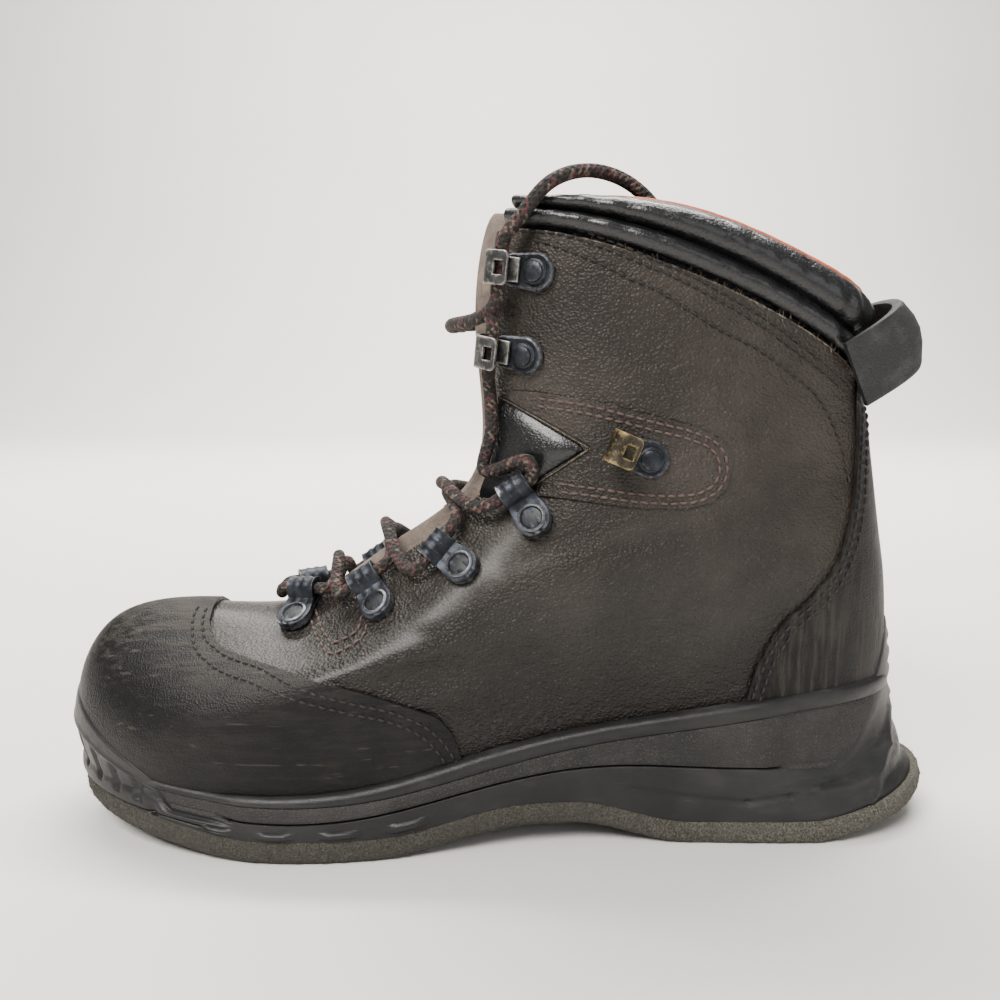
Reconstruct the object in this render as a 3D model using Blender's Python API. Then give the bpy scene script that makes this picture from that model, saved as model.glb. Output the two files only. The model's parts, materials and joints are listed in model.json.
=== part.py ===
"""Wading boot, right foot, in millimetres scaled to metres.

The boot stands on its sole with the toe at +X, the inner (medial) side at +Y and +Z up.
The origin is on the floor under the flat tread of the heel. A station is a distance
forward of the heel's back. A spoke is an angle round the last: 0 at the heel's back,
pi at the toe and the front of the shin, the medial side between them, and the lateral
side from pi to 2 pi. A level counts the rings of the upper from the feather edge.
"""
import math

import bmesh
import bpy
import numpy as np

# Driving sizes, mm
MM = 0.001
LENGTH = 325.0
BALL_WIDTH = 108.0
HEIGHT = 222.0
SOLE_HEIGHT = 56.0
GAP = 0.3
FACET_GAP = 0.55
UPPER_WALL = 2.0
OVERLAY = 1.4
FELT = 8.0
ARCH_LIFT = 8.0
TOE_SPRING = 13.0
HEEL_CURL = 12.0
INSOLE = 4.0
TONGUE = 3.6
RUBBER_LIP = 1.3
HEEL_CUP_TOP = 75.0
TOE_BUMPER_TOP = 50.0
COLLAR_PAD = 9.0
COLLAR_ROLL = 2.6
COLLAR_TUCK = 12.0
COLLAR_CLEAR = 5.5
TONGUE_TUCK = 10.0
THROAT_TOP_WIDTH = 34.0
THROAT_BASE_WIDTH = 25.0
LACE = 4.6
STRAP = 2.6

# How far the sole's pieces stand out from the feather line, mm
SOLE_SIDE = 5.8
FELT_BACK = 18.0
FELT_FRONT = 5.2
RUBBER_BACK = 14.5
BELLY_BACK = 10.5
BELLY_FRONT = 6.8
CUP_WALL = 3.0
SHELTER = 3.4
RAND_OUT = 4.8
NUB = 1.4
CUP_ANGLE = math.radians(36)
BUMPER_ANGLE = math.radians(137)
NUB_SPOKES = tuple(math.radians(angle) for angle in (101, 110, 119, 128))
SOLE_SPOKES = 52
UPPER_STEPS = 20

# Stations of the tread, shares of LENGTH
HEEL_FLAT_START = 0.160
HEEL_FLAT_END = 0.300
ARCH_TOP = 0.465
BALL_FLAT_START = 0.645
BALL_FLAT_END = 0.770
ORIGIN_STATION = 0.200 * LENGTH

# The last's feather line and the sole's steps, one row every 15 degrees from heel to toe:
# half widths as shares of BALL_WIDTH, heights as shares of SOLE_HEIGHT
FEATHER_BACK = 0.065
FEATHER_FRONT = 0.980
SOLE_ROWS = (
    # medial, lateral, footbed, rubber, midsole, rand
    (0.000, 0.000, 0.660, 0.480, 0.890, 1.000),
    (0.125, 0.125, 0.660, 0.480, 0.890, 1.000),
    (0.227, 0.227, 0.660, 0.470, 0.880, 0.990),
    (0.282, 0.285, 0.660, 0.480, 0.840, 0.945),
    (0.296, 0.310, 0.655, 0.500, 0.760, 0.865),
    (0.296, 0.338, 0.610, 0.505, 0.660, 0.760),
    (0.338, 0.398, 0.490, 0.415, 0.520, 0.615),
    (0.407, 0.449, 0.345, 0.285, 0.385, 0.460),
    (0.426, 0.454, 0.300, 0.250, 0.360, 0.415),
    (0.372, 0.390, 0.335, 0.285, 0.390, 0.435),
    (0.287, 0.270, 0.392, 0.328, 0.445, 0.485),
    (0.165, 0.110, 0.440, 0.384, 0.485, 0.520),
    (0.028, -0.028, 0.460, 0.406, 0.500, 0.535),
)
MEDIAL, LATERAL, FOOTBED, RUBBER_TOP, MIDSOLE_TOP, RAND_TOP = range(6)

# The upper's rings above the feather line, from just over the sole to the collar's top:
# stations as shares of LENGTH, heights and rises as shares of HEIGHT, half widths as
# shares of BALL_WIDTH at 30, 60, 90, 120 and 150 degrees
UPPER_RINGS = (
    # back, back z, front, front z, rise 45, 90, 135, half width 30, 60, 90, 120, 150
    (0.063, 0.270, 1.000, 0.200, 0.018, -0.004, -0.027, 0.233, 0.306, 0.347, 0.437, 0.290),
    (0.066, 0.342, 0.954, 0.329, 0.018, -0.020, -0.068, 0.236, 0.315, 0.352, 0.412, 0.240),
    (0.071, 0.414, 0.825, 0.354, 0.020, -0.004, -0.050, 0.231, 0.315, 0.347, 0.360, 0.170),
    (0.080, 0.486, 0.726, 0.369, 0.022, 0.027, 0.000, 0.227, 0.310, 0.343, 0.315, 0.142),
    (0.089, 0.558, 0.628, 0.464, 0.027, 0.018, 0.000, 0.218, 0.296, 0.333, 0.294, 0.142),
    (0.097, 0.622, 0.535, 0.590, 0.022, 0.022, 0.013, 0.208, 0.282, 0.324, 0.296, 0.167),
    (0.103, 0.671, 0.535, 0.802, 0.018, 0.031, 0.013, 0.208, 0.287, 0.333, 0.315, 0.194),
    (0.108, 0.712, 0.526, 0.964, 0.038, 0.052, 0.027, 0.213, 0.296, 0.347, 0.333, 0.213),
    (0.101, 0.860, 0.511, 1.003, 0.018, 0.050, 0.026, 0.218, 0.301, 0.347, 0.329, 0.204),
)
LATERAL_FULLNESS = (0.15, 0.10, 0.06, 0.03, 0.0, 0.0, 0.0, 0.0, 0.0)
COLLAR_EDGE = 8.0
COLLAR_TOP = 9.0
THROAT_BASE = 4.06
THROAT_ROUND = 0.9
TONGUE_TOP = 8.75
SEAT_LEVEL = 0.06
LEVEL_CLIMB = 0.09 * HEIGHT

# Edges of the overlays and of the ankle's notch in side view: station as a share of
# LENGTH, height as a share of HEIGHT
CAP_EDGE = ((0.540, 0.090), (0.551, 0.150), (0.560, 0.189), (0.575, 0.219), (0.604, 0.236),
            (0.644, 0.259), (0.683, 0.276), (0.725, 0.285), (0.771, 0.292), (0.810, 0.301),
            (0.828, 0.313), (0.839, 0.332), (0.841, 0.348), (0.830, 0.400))
COUNTER_EDGE = ((0.250, 0.200), (0.243, 0.228), (0.236, 0.275), (0.220, 0.329),
                (0.203, 0.364), (0.179, 0.394), (0.156, 0.431), (0.142, 0.471),
                (0.132, 0.532), (0.129, 0.616), (0.126, 0.760))
NOTCH_TOP = (0.510, 0.708)
NOTCH_TIP = (0.418, 0.633)
NOTCH_FOOT = (0.500, 0.552)

# Lacing hardware: station and height of the rivet, the slope in degrees of the line from
# rivet to throat, measured from straight ahead, and how far that line turns inward
LOOP_SEATS = ((0.739, 0.341, 112, 1.2), (0.640, 0.377, 56, 0.0), (0.548, 0.445, 40, 0.0),
              (0.472, 0.522, 56, 0.0))
HOOK_SEATS = ((0.354, 0.618, 22, 0.0), (0.481, 0.774, 6, 0.0), (0.471, 0.896, 6, 0.0))
LOOP_WIDTH = 11.0
LOOP_BARREL = 11.5
LOOP_SHEET = 1.3
LOOP_BORE = 5.8
PLATE_WIDTH = 13.0
PLATE_LENGTH = 21.0
PLATE = 1.8
RIVET = 9.0
RIVET_RISE = 1.6
HOOK_WIDTH = 9.5
HOOK_SHEET = 1.2
HOOK_BORE = 6.6
HOOK_REACH = 15.0
SEAT_TURN = 0.35

# Lace: what its ends keep clear of the fittings, the straight lead out of each, the levels
# where its bars cross, and where the runs to the hooks pass (level, half width)
CLEAR_END = GAP
LEAD = 3.4
CROSS_LEVELS = (4.46, 5.00, 5.65)
RUN_RAILS = ((5.95, 15.5), (6.30, 16.5), (6.75, 18.0))
HIGH_CROSS = 7.1
HIGH_CROSS_OUT = 9.0
BAR_LEVEL = 3.57
# The loose end's route over the collar and down inside it, shares of LENGTH, BALL_WIDTH
# and HEIGHT
LACE_END_ROUTE = ((0.4877, 0.3102, 0.9752), (0.4600, 0.3241, 1.0203), (0.4185, 0.2639, 1.0428),
                  (0.3723, 0.2037, 1.0270), (0.3446, 0.1806, 0.9910), (0.3277, 0.1759, 0.9324),
                  (0.3169, 0.1759, 0.8649))

# Pull strap: its seat in side view and its lean; of its two edges the place across from
# the middle, the half width at the root as a share of BALL_WIDTH and the reach
STRAP_SEAT = (0.131, 0.748)
STRAP_LEAN = math.radians(32)
STRAP_EDGES = ((-12.5, 0.311, 31.5), (12.5, 0.204, 29.0))
STRAP_ROOT = -2.0
STRAP_STEPS = 14

MATERIALS = {
    "felt": ((0.115, 0.105, 0.082), 0.98, 0.0),
    "rubber": ((0.022, 0.022, 0.022), 0.55, 0.0),
    "midsole": ((0.050, 0.048, 0.046), 0.80, 0.0),
    "leather": ((0.070, 0.056, 0.046), 0.42, 0.0),
    "overlay": ((0.024, 0.023, 0.022), 0.62, 0.0),
    "pad": ((0.016, 0.017, 0.020), 0.35, 0.0),
    "nubuck": ((0.180, 0.140, 0.110), 0.90, 0.0),
    "webbing": ((0.020, 0.020, 0.022), 0.80, 0.0),
    "coated_metal": ((0.030, 0.034, 0.042), 0.40, 0.6),
    "steel": ((0.420, 0.390, 0.330), 0.35, 1.0),
    "lace": ((0.040, 0.022, 0.020), 0.85, 0.0),
    "insole": ((0.060, 0.055, 0.050), 0.95, 0.0),
}


def clear_scene():
    for item in list(bpy.data.objects):
        bpy.data.objects.remove(item, do_unlink=True)


def material(name):
    found = bpy.data.materials.get(name)
    if found:
        return found
    colour, roughness, metallic = MATERIALS[name]
    made = bpy.data.materials.new(name)
    made.use_nodes = True
    shader = made.node_tree.nodes["Principled BSDF"]
    shader.inputs["Base Color"].default_value = (*colour, 1.0)
    shader.inputs["Roughness"].default_value = roughness
    shader.inputs["Metallic"].default_value = metallic
    return made


def solid(name, points, faces, slot):
    """One closed mesh object from points in mm (station, y, z)."""
    mesh = bpy.data.meshes.new(name)
    metres = [((p[0] - ORIGIN_STATION) * MM, p[1] * MM, p[2] * MM) for p in points]
    mesh.from_pydata(metres, [], [tuple(face) for face in faces])
    bm = bmesh.new()
    bm.from_mesh(mesh)
    bmesh.ops.recalc_face_normals(bm, faces=bm.faces)
    if bm.calc_volume(signed=True) < 0.0:
        bmesh.ops.reverse_faces(bm, faces=bm.faces)
    bm.to_mesh(mesh)
    bm.free()
    mesh.shade_smooth()
    mesh.set_sharp_from_angle(angle=math.radians(40))
    item = bpy.data.objects.new(name, mesh)
    bpy.context.scene.collection.objects.link(item)
    item.data.materials.append(material(slot))
    return item


# Smooth curves
def rise(x, start, end):
    """0 before start and 1 past end, eased between."""
    t = np.clip((x - start) / (end - start), 0.0, 1.0)
    return t * t * (3.0 - 2.0 * t)


def loop_curve(values, spoke):
    """Closed cubic spline through equally spaced values, read at angles."""
    values = np.asarray(values, float)
    count = len(values)
    index = np.arange(count)
    system = np.zeros((count, count))
    system[index, index] = 4.0
    system[index, (index + 1) % count] = 1.0
    system[index, (index - 1) % count] = 1.0
    bend = 6.0 * (np.roll(values, 1) - 2.0 * values + np.roll(values, -1))
    curve = np.linalg.solve(system, bend)
    x = np.mod(np.asarray(spoke, float) / (2.0 * math.pi), 1.0) * count
    left = np.floor(x).astype(int) % count
    right = (left + 1) % count
    t = x - np.floor(x)
    s = 1.0 - t
    return (s * values[left] + t * values[right]
            + ((s ** 3 - s) * curve[left] + (t ** 3 - t) * curve[right]) / 6.0)


def open_curve(values, x):
    """Natural cubic spline through values at 0, 1, 2 and so on; columns of a matrix."""
    count = len(values)
    system = np.eye(count)
    bend = np.zeros_like(values)
    for row in range(1, count - 1):
        system[row, row - 1:row + 2] = (1.0, 4.0, 1.0)
        bend[row] = 6.0 * (values[row - 1] - 2.0 * values[row] + values[row + 1])
    curve = np.linalg.solve(system, bend.reshape(count, -1)).reshape(values.shape)
    left = np.clip(np.floor(x).astype(int), 0, count - 2)
    t = (x - left)[:, None]
    s = 1.0 - t
    column = np.arange(len(x))
    return (s * values[left, column] + t * values[left + 1, column]
            + ((s ** 3 - s) * curve[left, column] + (t ** 3 - t) * curve[left + 1, column]) / 6.0)


def even_loop(rows):
    """Values from heel to toe, mirrored for the other side."""
    return list(rows) + list(rows[-2:0:-1])


def edge_line(rows):
    """A side-view edge as stations and heights in mm."""
    return np.array([(station * LENGTH, height * HEIGHT) for station, height in rows])


# The last: feather line, sole heights and the surface of the upper
def sole_height(column, spoke):
    return loop_curve(even_loop([row[column] for row in SOLE_ROWS]), spoke) * SOLE_HEIGHT


def feather(spoke):
    """Plan of the upper's lower edge: station and y."""
    along = (1.0 - np.cos(spoke)) / 2.0
    station = (FEATHER_BACK + (FEATHER_FRONT - FEATHER_BACK) * along) * LENGTH
    medial = [row[MEDIAL] for row in SOLE_ROWS]
    lateral = [-row[LATERAL] for row in SOLE_ROWS]
    return station, loop_curve(medial + lateral[-2:0:-1], spoke) * BALL_WIDTH


def ring(row, fullness, spoke):
    """One ring of the upper as points (station, y, z)."""
    back, back_z, front, front_z = row[0:4]
    along = (1.0 - np.cos(spoke)) / 2.0
    station = (back + (front - back) * along) * LENGTH
    lift = loop_curve(even_loop([0.0, *row[4:7], 0.0]), spoke)
    height = (back_z + (front_z - back_z) * along + lift) * HEIGHT
    widths = list(row[7:12])
    outer = [width * (1.0 + fullness * (1.0 if place in (2, 3) else 0.3))
             for place, width in enumerate(widths)]
    loop = [0.0] + widths + [0.0] + [-width for width in outer[::-1]]
    return np.stack([station, loop_curve(loop, spoke) * BALL_WIDTH, height], axis=-1)


def surface(spoke, level):
    """Points on the upper's outer surface."""
    spoke = np.atleast_1d(np.asarray(spoke, float))
    level = np.broadcast_to(np.asarray(level, float), spoke.shape)
    station, side = feather(spoke)
    rings = [np.stack([station, side, sole_height(FOOTBED, spoke) + GAP], axis=-1)]
    for row, fullness in zip(UPPER_RINGS, LATERAL_FULLNESS):
        rings.append(ring(row, fullness, spoke))
    return open_curve(np.stack(rings), level)


def surface_normal(spoke, level):
    step = 1e-3
    spoke = np.atleast_1d(np.asarray(spoke, float))
    level = np.broadcast_to(np.asarray(level, float), spoke.shape)
    across = surface(spoke + step, level) - surface(spoke - step, level)
    up = surface(spoke, level + step) - surface(spoke, level - step)
    normal = np.cross(up, across)
    return normal / np.linalg.norm(normal, axis=1, keepdims=True)


def shifted(spoke, level, out):
    """Points a distance outside the upper's surface."""
    spoke = np.atleast_1d(np.asarray(spoke, float))
    out = np.broadcast_to(np.asarray(out, float), spoke.shape)
    return surface(spoke, level) + surface_normal(spoke, level) * out[:, None]


def outline(spoke, out, height):
    """Sole outline: the feather line moved outward in plan."""
    step = 1e-3
    ahead = np.stack(feather(spoke + step), axis=-1)
    behind = np.stack(feather(spoke - step), axis=-1)
    run = ahead - behind
    run /= np.linalg.norm(run, axis=1, keepdims=True)
    station, side = feather(spoke)
    out = np.broadcast_to(out, spoke.shape)
    height = np.broadcast_to(height, spoke.shape)
    return np.stack([station - run[:, 1] * out, side + run[:, 0] * out, height], axis=-1)


def wall_level(spoke, height):
    """Level at which a spoke's lower wall reaches a height."""
    steps = np.linspace(0.0, 1.6, 33)
    heights = np.stack([surface(spoke, step)[:, 2] for step in steps])
    return np.array([np.interp(height[k], heights[:, k], steps) for k in range(len(spoke))])


def beside_wall(spoke, height, out):
    """Sole piece beside the upper: plan offset below its edge, surface offset above it."""
    height = np.broadcast_to(height, spoke.shape)
    out = np.broadcast_to(out, spoke.shape)
    edge = sole_height(FOOTBED, spoke) + GAP
    raised = shifted(spoke, wall_level(spoke, np.maximum(height, edge)), out)
    raised[:, 2] = height
    low = (height < edge)[:, None]
    return np.where(low, outline(spoke, out, height), raised)


def locate(side, station, height):
    """Spoke and level of the surface point seen at a side-view place; side is 1 or -1."""
    spokes, levels = np.meshgrid(np.linspace(0.05, math.pi - 0.05, 60), np.linspace(0, 9, 60))
    spokes = spokes.ravel() if side > 0 else 2.0 * math.pi - spokes.ravel()
    levels = levels.ravel()
    points = surface(spokes, levels)
    miss = (points[:, 0] - station) ** 2 + (points[:, 2] - height) ** 2
    spoke, level = spokes[miss.argmin()], levels[miss.argmin()]
    for _ in range(6):
        here = surface(spoke, level)[0][[0, 2]]
        turn = (surface(spoke + 1e-3, level)[0][[0, 2]] - here) / 1e-3
        climb = (surface(spoke, level + 1e-3)[0][[0, 2]] - here) / 1e-3
        step = np.linalg.lstsq(np.stack([turn, climb], axis=1),
                               np.array([station, height]) - here, rcond=None)[0]
        spoke += step[0]
        level += step[1]
    return spoke, level


# Patches of the upper's surface and the shells cut from them
class Patch:
    """Polygons on the upper's surface, each corner a spoke and a level."""

    def __init__(self):
        self.corners = []
        self.faces = []
        self.known = {}

    def corner(self, spoke, level):
        key = (round(spoke % (2.0 * math.pi), 6) % round(2.0 * math.pi, 6), round(level, 6))
        if key not in self.known:
            self.known[key] = len(self.corners)
            self.corners.append((spoke % (2.0 * math.pi), level))
        return self.known[key]

    def add_grid(self, spokes, levels):
        """spokes[k][i] at levels[k], quads between rows."""
        rows = [[self.corner(spoke, level) for spoke in row] for row, level in zip(spokes, levels)]
        for low, high in zip(rows, rows[1:]):
            for i in range(len(low) - 1):
                ids = [low[i], low[i + 1], high[i + 1], high[i]]
                face = [v for n, v in enumerate(ids) if v != ids[n - 1]]
                if len(set(face)) > 2:
                    self.faces.append(face)

    def clip(self, field):
        """Keep where field(points) is above zero, cutting faces along its zero line."""
        array = np.array(self.corners)
        value = field(surface(array[:, 0], array[:, 1]), array[:, 0], array[:, 1])
        value = np.where(np.abs(value) < 0.02, 0.02, value)
        cut = Patch()

        def kept(index):
            return cut.corner(*self.corners[index])

        for face in self.faces:
            ring_ids = []
            for n, a in enumerate(face):
                b = face[(n + 1) % len(face)]
                if value[a] > 0:
                    ring_ids.append(kept(a))
                if value[a] * value[b] < 0:
                    t = value[a] / (value[a] - value[b])
                    pa, pb = self.corners[a], self.corners[b]
                    turn = (pb[0] - pa[0] + math.pi) % (2.0 * math.pi) - math.pi
                    ring_ids.append(cut.corner(pa[0] + turn * t, pa[1] + (pb[1] - pa[1]) * t))
            unique = [v for n, v in enumerate(ring_ids) if v != ring_ids[n - 1]]
            if len(set(unique)) > 2:
                cut.faces.append(unique)
        return cut

    def side(self, which):
        """Only the faces on the medial or the lateral side."""
        sign = 1.0 if which == "medial" else -1.0
        return self.clip(lambda points, spoke, level: sign * points[:, 1])

    def shell(self, name, low, high, slot):
        """Solid between two offsets of the surface; an offset may be a function."""
        array = np.array(self.corners)
        spoke, level = array[:, 0], array[:, 1]
        lower = low(spoke, level) if callable(low) else low
        upper = high(spoke, level) if callable(high) else high
        points = np.vstack([shifted(spoke, level, upper), shifted(spoke, level, lower)])
        count = len(array)
        faces = [face for face in self.faces]
        faces += [[v + count for v in face[::-1]] for face in self.faces]
        uses = {}
        for face in self.faces:
            for n, a in enumerate(face):
                edge = tuple(sorted((a, face[(n + 1) % len(face)])))
                uses[edge] = uses.get(edge, 0) + 1
        faces += [[a, b, b + count, a + count] for (a, b), n in uses.items() if n == 1]
        return solid(name, points, faces, slot)


def half_gap(level):
    """Half width of the throat's opening, round at its base."""
    climb = np.clip((level - THROAT_BASE) / THROAT_ROUND, 0.0, 1.0)
    base, top = THROAT_BASE_WIDTH / 2.0, THROAT_TOP_WIDTH / 2.0
    full = base + (top - base) * rise(level, THROAT_BASE, COLLAR_EDGE)
    return full * np.sqrt(1.0 - (1.0 - climb) ** 2)


def spokes_at_width(side, levels, half_widths):
    """Turn from the heel to where the surface is a half width from the middle in front."""
    levels = np.atleast_1d(np.asarray(levels, float))
    half_widths = np.broadcast_to(half_widths, levels.shape)
    near = np.full(levels.shape, math.radians(105))
    far = np.full(levels.shape, math.pi)
    for _ in range(24):
        middle = (near + far) / 2.0
        spoke = middle if side > 0 else 2.0 * math.pi - middle
        wide = np.abs(surface(spoke, levels)[:, 1]) > half_widths
        near = np.where(wide, middle, near)
        far = np.where(wide, far, middle)
    return np.where(half_widths > 0.0, near, math.pi)


def edge_field(rows):
    """Signed distance ahead of a side-view edge that climbs from the sole."""
    line = edge_line(rows)

    def field(points, spoke, level):
        return points[:, 0] - np.interp(points[:, 2], line[:, 1], line[:, 0])

    return field


def notch_field(grow):
    """Positive inside the ankle's triangular notch, widened by grow."""
    top, tip, foot = [edge_line([corner])[0] for corner in (NOTCH_TOP, NOTCH_TIP, NOTCH_FOOT)]

    def beyond(points, a, b):
        run = (b - a) / np.linalg.norm(b - a)
        return (points[:, 2] - a[1]) * run[0] - (points[:, 0] - a[0]) * run[1]

    def field(points, spoke, level):
        wedge = np.minimum(beyond(points, tip, foot), beyond(points, top, tip))
        band = np.minimum(points[:, 2] - foot[1], top[1] - points[:, 2])
        return np.minimum(wedge, band + 1.0) + grow

    return field


# Sole
def sole_spokes():
    return np.arange(SOLE_SPOKES) * 2.0 * math.pi / SOLE_SPOKES


def loft(name, rings, slot):
    """Closed solid through rings round the sole, first and last closed by cross strips."""
    count = SOLE_SPOKES
    points = np.vstack(rings)
    faces = []
    for k in range(len(rings) - 1):
        for i in range(count):
            j = (i + 1) % count
            faces.append([k * count + i, k * count + j, (k + 1) * count + j, (k + 1) * count + i])
    for start in (0, (len(rings) - 1) * count):
        for i in range(count // 2):
            face = [i, i + 1, (count - i - 1) % count, (count - i) % count]
            unique = [v for n, v in enumerate(face) if v != face[n - 1]]
            faces.append([start + v for v in unique])
    return solid(name, points, faces, slot)


def belt(name, rings, slot):
    """Closed band: rings joined round and the last to the first."""
    count = len(rings[0])
    points = np.vstack(rings)
    faces = []
    total = len(rings)
    for k in range(total):
        n = (k + 1) % total
        for i in range(count):
            j = (i + 1) % count
            faces.append([k * count + i, k * count + j, n * count + j, n * count + i])
    return solid(name, points, faces, slot)


def spread(spoke, side, back, front):
    """Offset that changes from the sides to the heel's back and the toe's tip."""
    turn = np.abs((spoke + math.pi) % (2.0 * math.pi) - math.pi)
    behind = 1.0 - rise(turn, 0.0, math.radians(62))
    ahead = rise(turn, math.radians(125), math.pi)
    return side + (back - side) * behind + (front - side) * ahead


def tread(station):
    """Height of the felt's underside: flat at heel and ball, lifted between and at the ends."""
    share = station / LENGTH
    curl = HEEL_CURL * np.clip((HEEL_FLAT_START - share) / HEEL_FLAT_START, 0.0, 1.0) ** 1.2
    arch = ARCH_LIFT * rise(share, HEEL_FLAT_END, ARCH_TOP - 0.03)
    arch *= 1.0 - rise(share, ARCH_TOP + 0.01, BALL_FLAT_START)
    spring = np.clip((share - BALL_FLAT_END) / (1.0 - BALL_FLAT_END), 0.0, 1.0)
    return curl + arch + TOE_SPRING * spring ** 1.3


def wall_top(spoke):
    """Upper edge of the rubber: low beside the midsole, high as heel cup and toe bumper."""
    turn = np.abs((spoke + math.pi) % (2.0 * math.pi) - math.pi)
    low = sole_height(RUBBER_TOP, spoke)
    cup = 1.0 - rise(turn, math.radians(7), CUP_ANGLE)
    climb = np.clip((turn - BUMPER_ANGLE) / (math.pi - BUMPER_ANGLE), 0.0, 1.0)
    bump = 0.15 * rise(turn, BUMPER_ANGLE, BUMPER_ANGLE + 0.07) + 0.85 * (1.0 - (1.0 - climb) ** 2)
    return low + (HEEL_CUP_TOP - low) * cup + (TOE_BUMPER_TOP - low) * bump


def openness(spoke):
    """1 where midsole and rand stand clear of the rubber's wall, 0 inside cup and bumper."""
    turn = np.abs((spoke + math.pi) % (2.0 * math.pi) - math.pi)
    step = 2.0 * math.pi / SOLE_SPOKES
    behind = rise(turn, CUP_ANGLE + step, CUP_ANGLE + 2.0 * step)
    return behind * (1.0 - rise(turn, BUMPER_ANGLE - 2.0 * step, BUMPER_ANGLE - step))


def felt_outsole():
    spoke = sole_spokes()
    out = spread(spoke, SOLE_SIDE, FELT_BACK, FELT_FRONT)
    under = outline(spoke, out - 1.2, 0.0)
    under[:, 2] = tread(under[:, 0])
    edge = outline(spoke, out, 0.0)
    edge[:, 2] = tread(edge[:, 0]) + FELT * 0.35
    top = outline(spoke, out - 0.8, 0.0)
    top[:, 2] = tread(top[:, 0]) + FELT
    return loft("felt_outsole", [under, edge, top], "felt")


def rubber_outsole():
    spoke = sole_spokes()
    low_out = spread(spoke, SOLE_SIDE - 0.9, RUBBER_BACK, FELT_FRONT - 1.0)
    under = outline(spoke, low_out, 0.0)
    under[:, 2] = tread(under[:, 0]) + FELT + GAP
    turn = np.minimum(spoke, 2.0 * math.pi - spoke)
    nub = np.max([np.exp(-((turn - place) / 0.045) ** 4) for place in NUB_SPOKES], axis=0)
    top = wall_top(spoke)
    middle_z = under[:, 2] + (sole_height(RUBBER_TOP, spoke) - under[:, 2]) * 0.55
    middle = outline(spoke, spread(spoke, SOLE_SIDE - 0.9, BELLY_BACK, BELLY_FRONT) + NUB * nub, middle_z)
    rings = [under, middle]
    outer = spread(spoke, SOLE_SIDE - 1.0, SHELTER + CUP_WALL - 0.4, SHELTER + CUP_WALL - 0.6)
    for share in (0.3, 0.65, 1.0):
        rings.append(beside_wall(spoke, middle_z + (top - middle_z) * share, outer))
    floor_z = sole_height(RUBBER_TOP, spoke) - RUBBER_LIP
    for share in (1.0, 0.8, 0.6, 0.4, 0.2, 0.0):
        rings.append(beside_wall(spoke, floor_z + (top - floor_z) * share, SHELTER + 3.5 * GAP))
    return loft("rubber_outsole", rings, "rubber")


def midsole():
    spoke = sole_spokes()
    clear = openness(spoke)
    inner = SHELTER - 2.0 * GAP
    band = inner + (RAND_OUT + 0.4 - inner) * clear
    low = sole_height(RUBBER_TOP, spoke)
    high = sole_height(MIDSOLE_TOP, spoke)
    bed = sole_height(FOOTBED, spoke)
    rings = [
        outline(spoke, inner, low - RUBBER_LIP + GAP),
        beside_wall(spoke, low + GAP, inner),
        beside_wall(spoke, low + GAP + 0.6, band),
        beside_wall(spoke, high - 0.6, band),
        beside_wall(spoke, high, band - 0.5),
        beside_wall(spoke, high, GAP),
        beside_wall(spoke, (high + bed) / 2.0 + GAP / 2.0, GAP),
        outline(spoke, GAP, bed),
    ]
    return loft("midsole", rings, "midsole")


def rand():
    spoke = sole_spokes()
    out = SHELTER + (RAND_OUT - SHELTER) * openness(spoke)
    low = sole_height(MIDSOLE_TOP, spoke) + GAP
    high = sole_height(RAND_TOP, spoke)
    rings = [
        beside_wall(spoke, low, GAP),
        beside_wall(spoke, low, out),
        beside_wall(spoke, high - 0.8, out),
        beside_wall(spoke, high, out - 0.8),
        beside_wall(spoke, high, GAP),
        beside_wall(spoke, (low + high) / 2.0, GAP),
    ]
    return belt("rand", rings, "rubber")


def insole():
    spoke = sole_spokes()
    bed = sole_height(FOOTBED, spoke)
    inset = -(UPPER_WALL + 2.0 * GAP)
    rings = [
        outline(spoke, inset, bed + GAP),
        outline(spoke, inset, bed + INSOLE - 0.8),
        outline(spoke, inset - 0.8, bed + INSOLE),
    ]
    return loft("insole", rings, "insole")


# Upper and what is laid on it
def upper_levels():
    low = np.linspace(0.0, THROAT_BASE, 11)
    curve = THROAT_BASE + THROAT_ROUND * (1.0 - np.cos(np.linspace(0.0, math.pi / 2, 5)))[1:]
    high = np.linspace(curve[-1], COLLAR_EDGE, 8)[1:]
    return np.concatenate([low, curve, high])


def upper_grid(levels, steps):
    """The whole upper as a patch, open at the throat."""
    patch = Patch()
    gaps = half_gap(levels)
    for side in (1, -1):
        edges = spokes_at_width(side, levels, gaps)
        rows = np.linspace(0.0, edges, steps + 1, axis=1)
        rows = rows if side > 0 else 2.0 * math.pi - rows
        patch.add_grid(rows, levels)
    return patch


def upper():
    notch = notch_field(0.0)
    grid = upper_grid(upper_levels(), UPPER_STEPS)
    patch = grid.clip(lambda points, spoke, level: -notch(points, spoke, level))
    return patch.shell("upper", -UPPER_WALL, 0.0, "leather")


def above_sole(patch, drop):
    """Trim a patch where the rand or the rubber's wall covers the upper."""
    def field(points, spoke, level):
        cover = np.maximum(sole_height(RAND_TOP, spoke), wall_top(spoke))
        return points[:, 2] - cover - drop

    return patch.clip(field)


def toe_cap():
    patch = above_sole(upper_grid(upper_levels(), UPPER_STEPS), 3.0 * GAP).clip(edge_field(CAP_EDGE))
    return patch.shell("toe_cap", FACET_GAP, FACET_GAP + OVERLAY, "overlay")


def heel_counter():
    ahead = edge_field(COUNTER_EDGE)
    patch = above_sole(upper_grid(upper_levels(), UPPER_STEPS), 3.0 * GAP)
    patch = patch.clip(lambda points, spoke, level: -ahead(points, spoke, level))
    return patch.shell("heel_counter", FACET_GAP, FACET_GAP + OVERLAY, "overlay")


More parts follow.
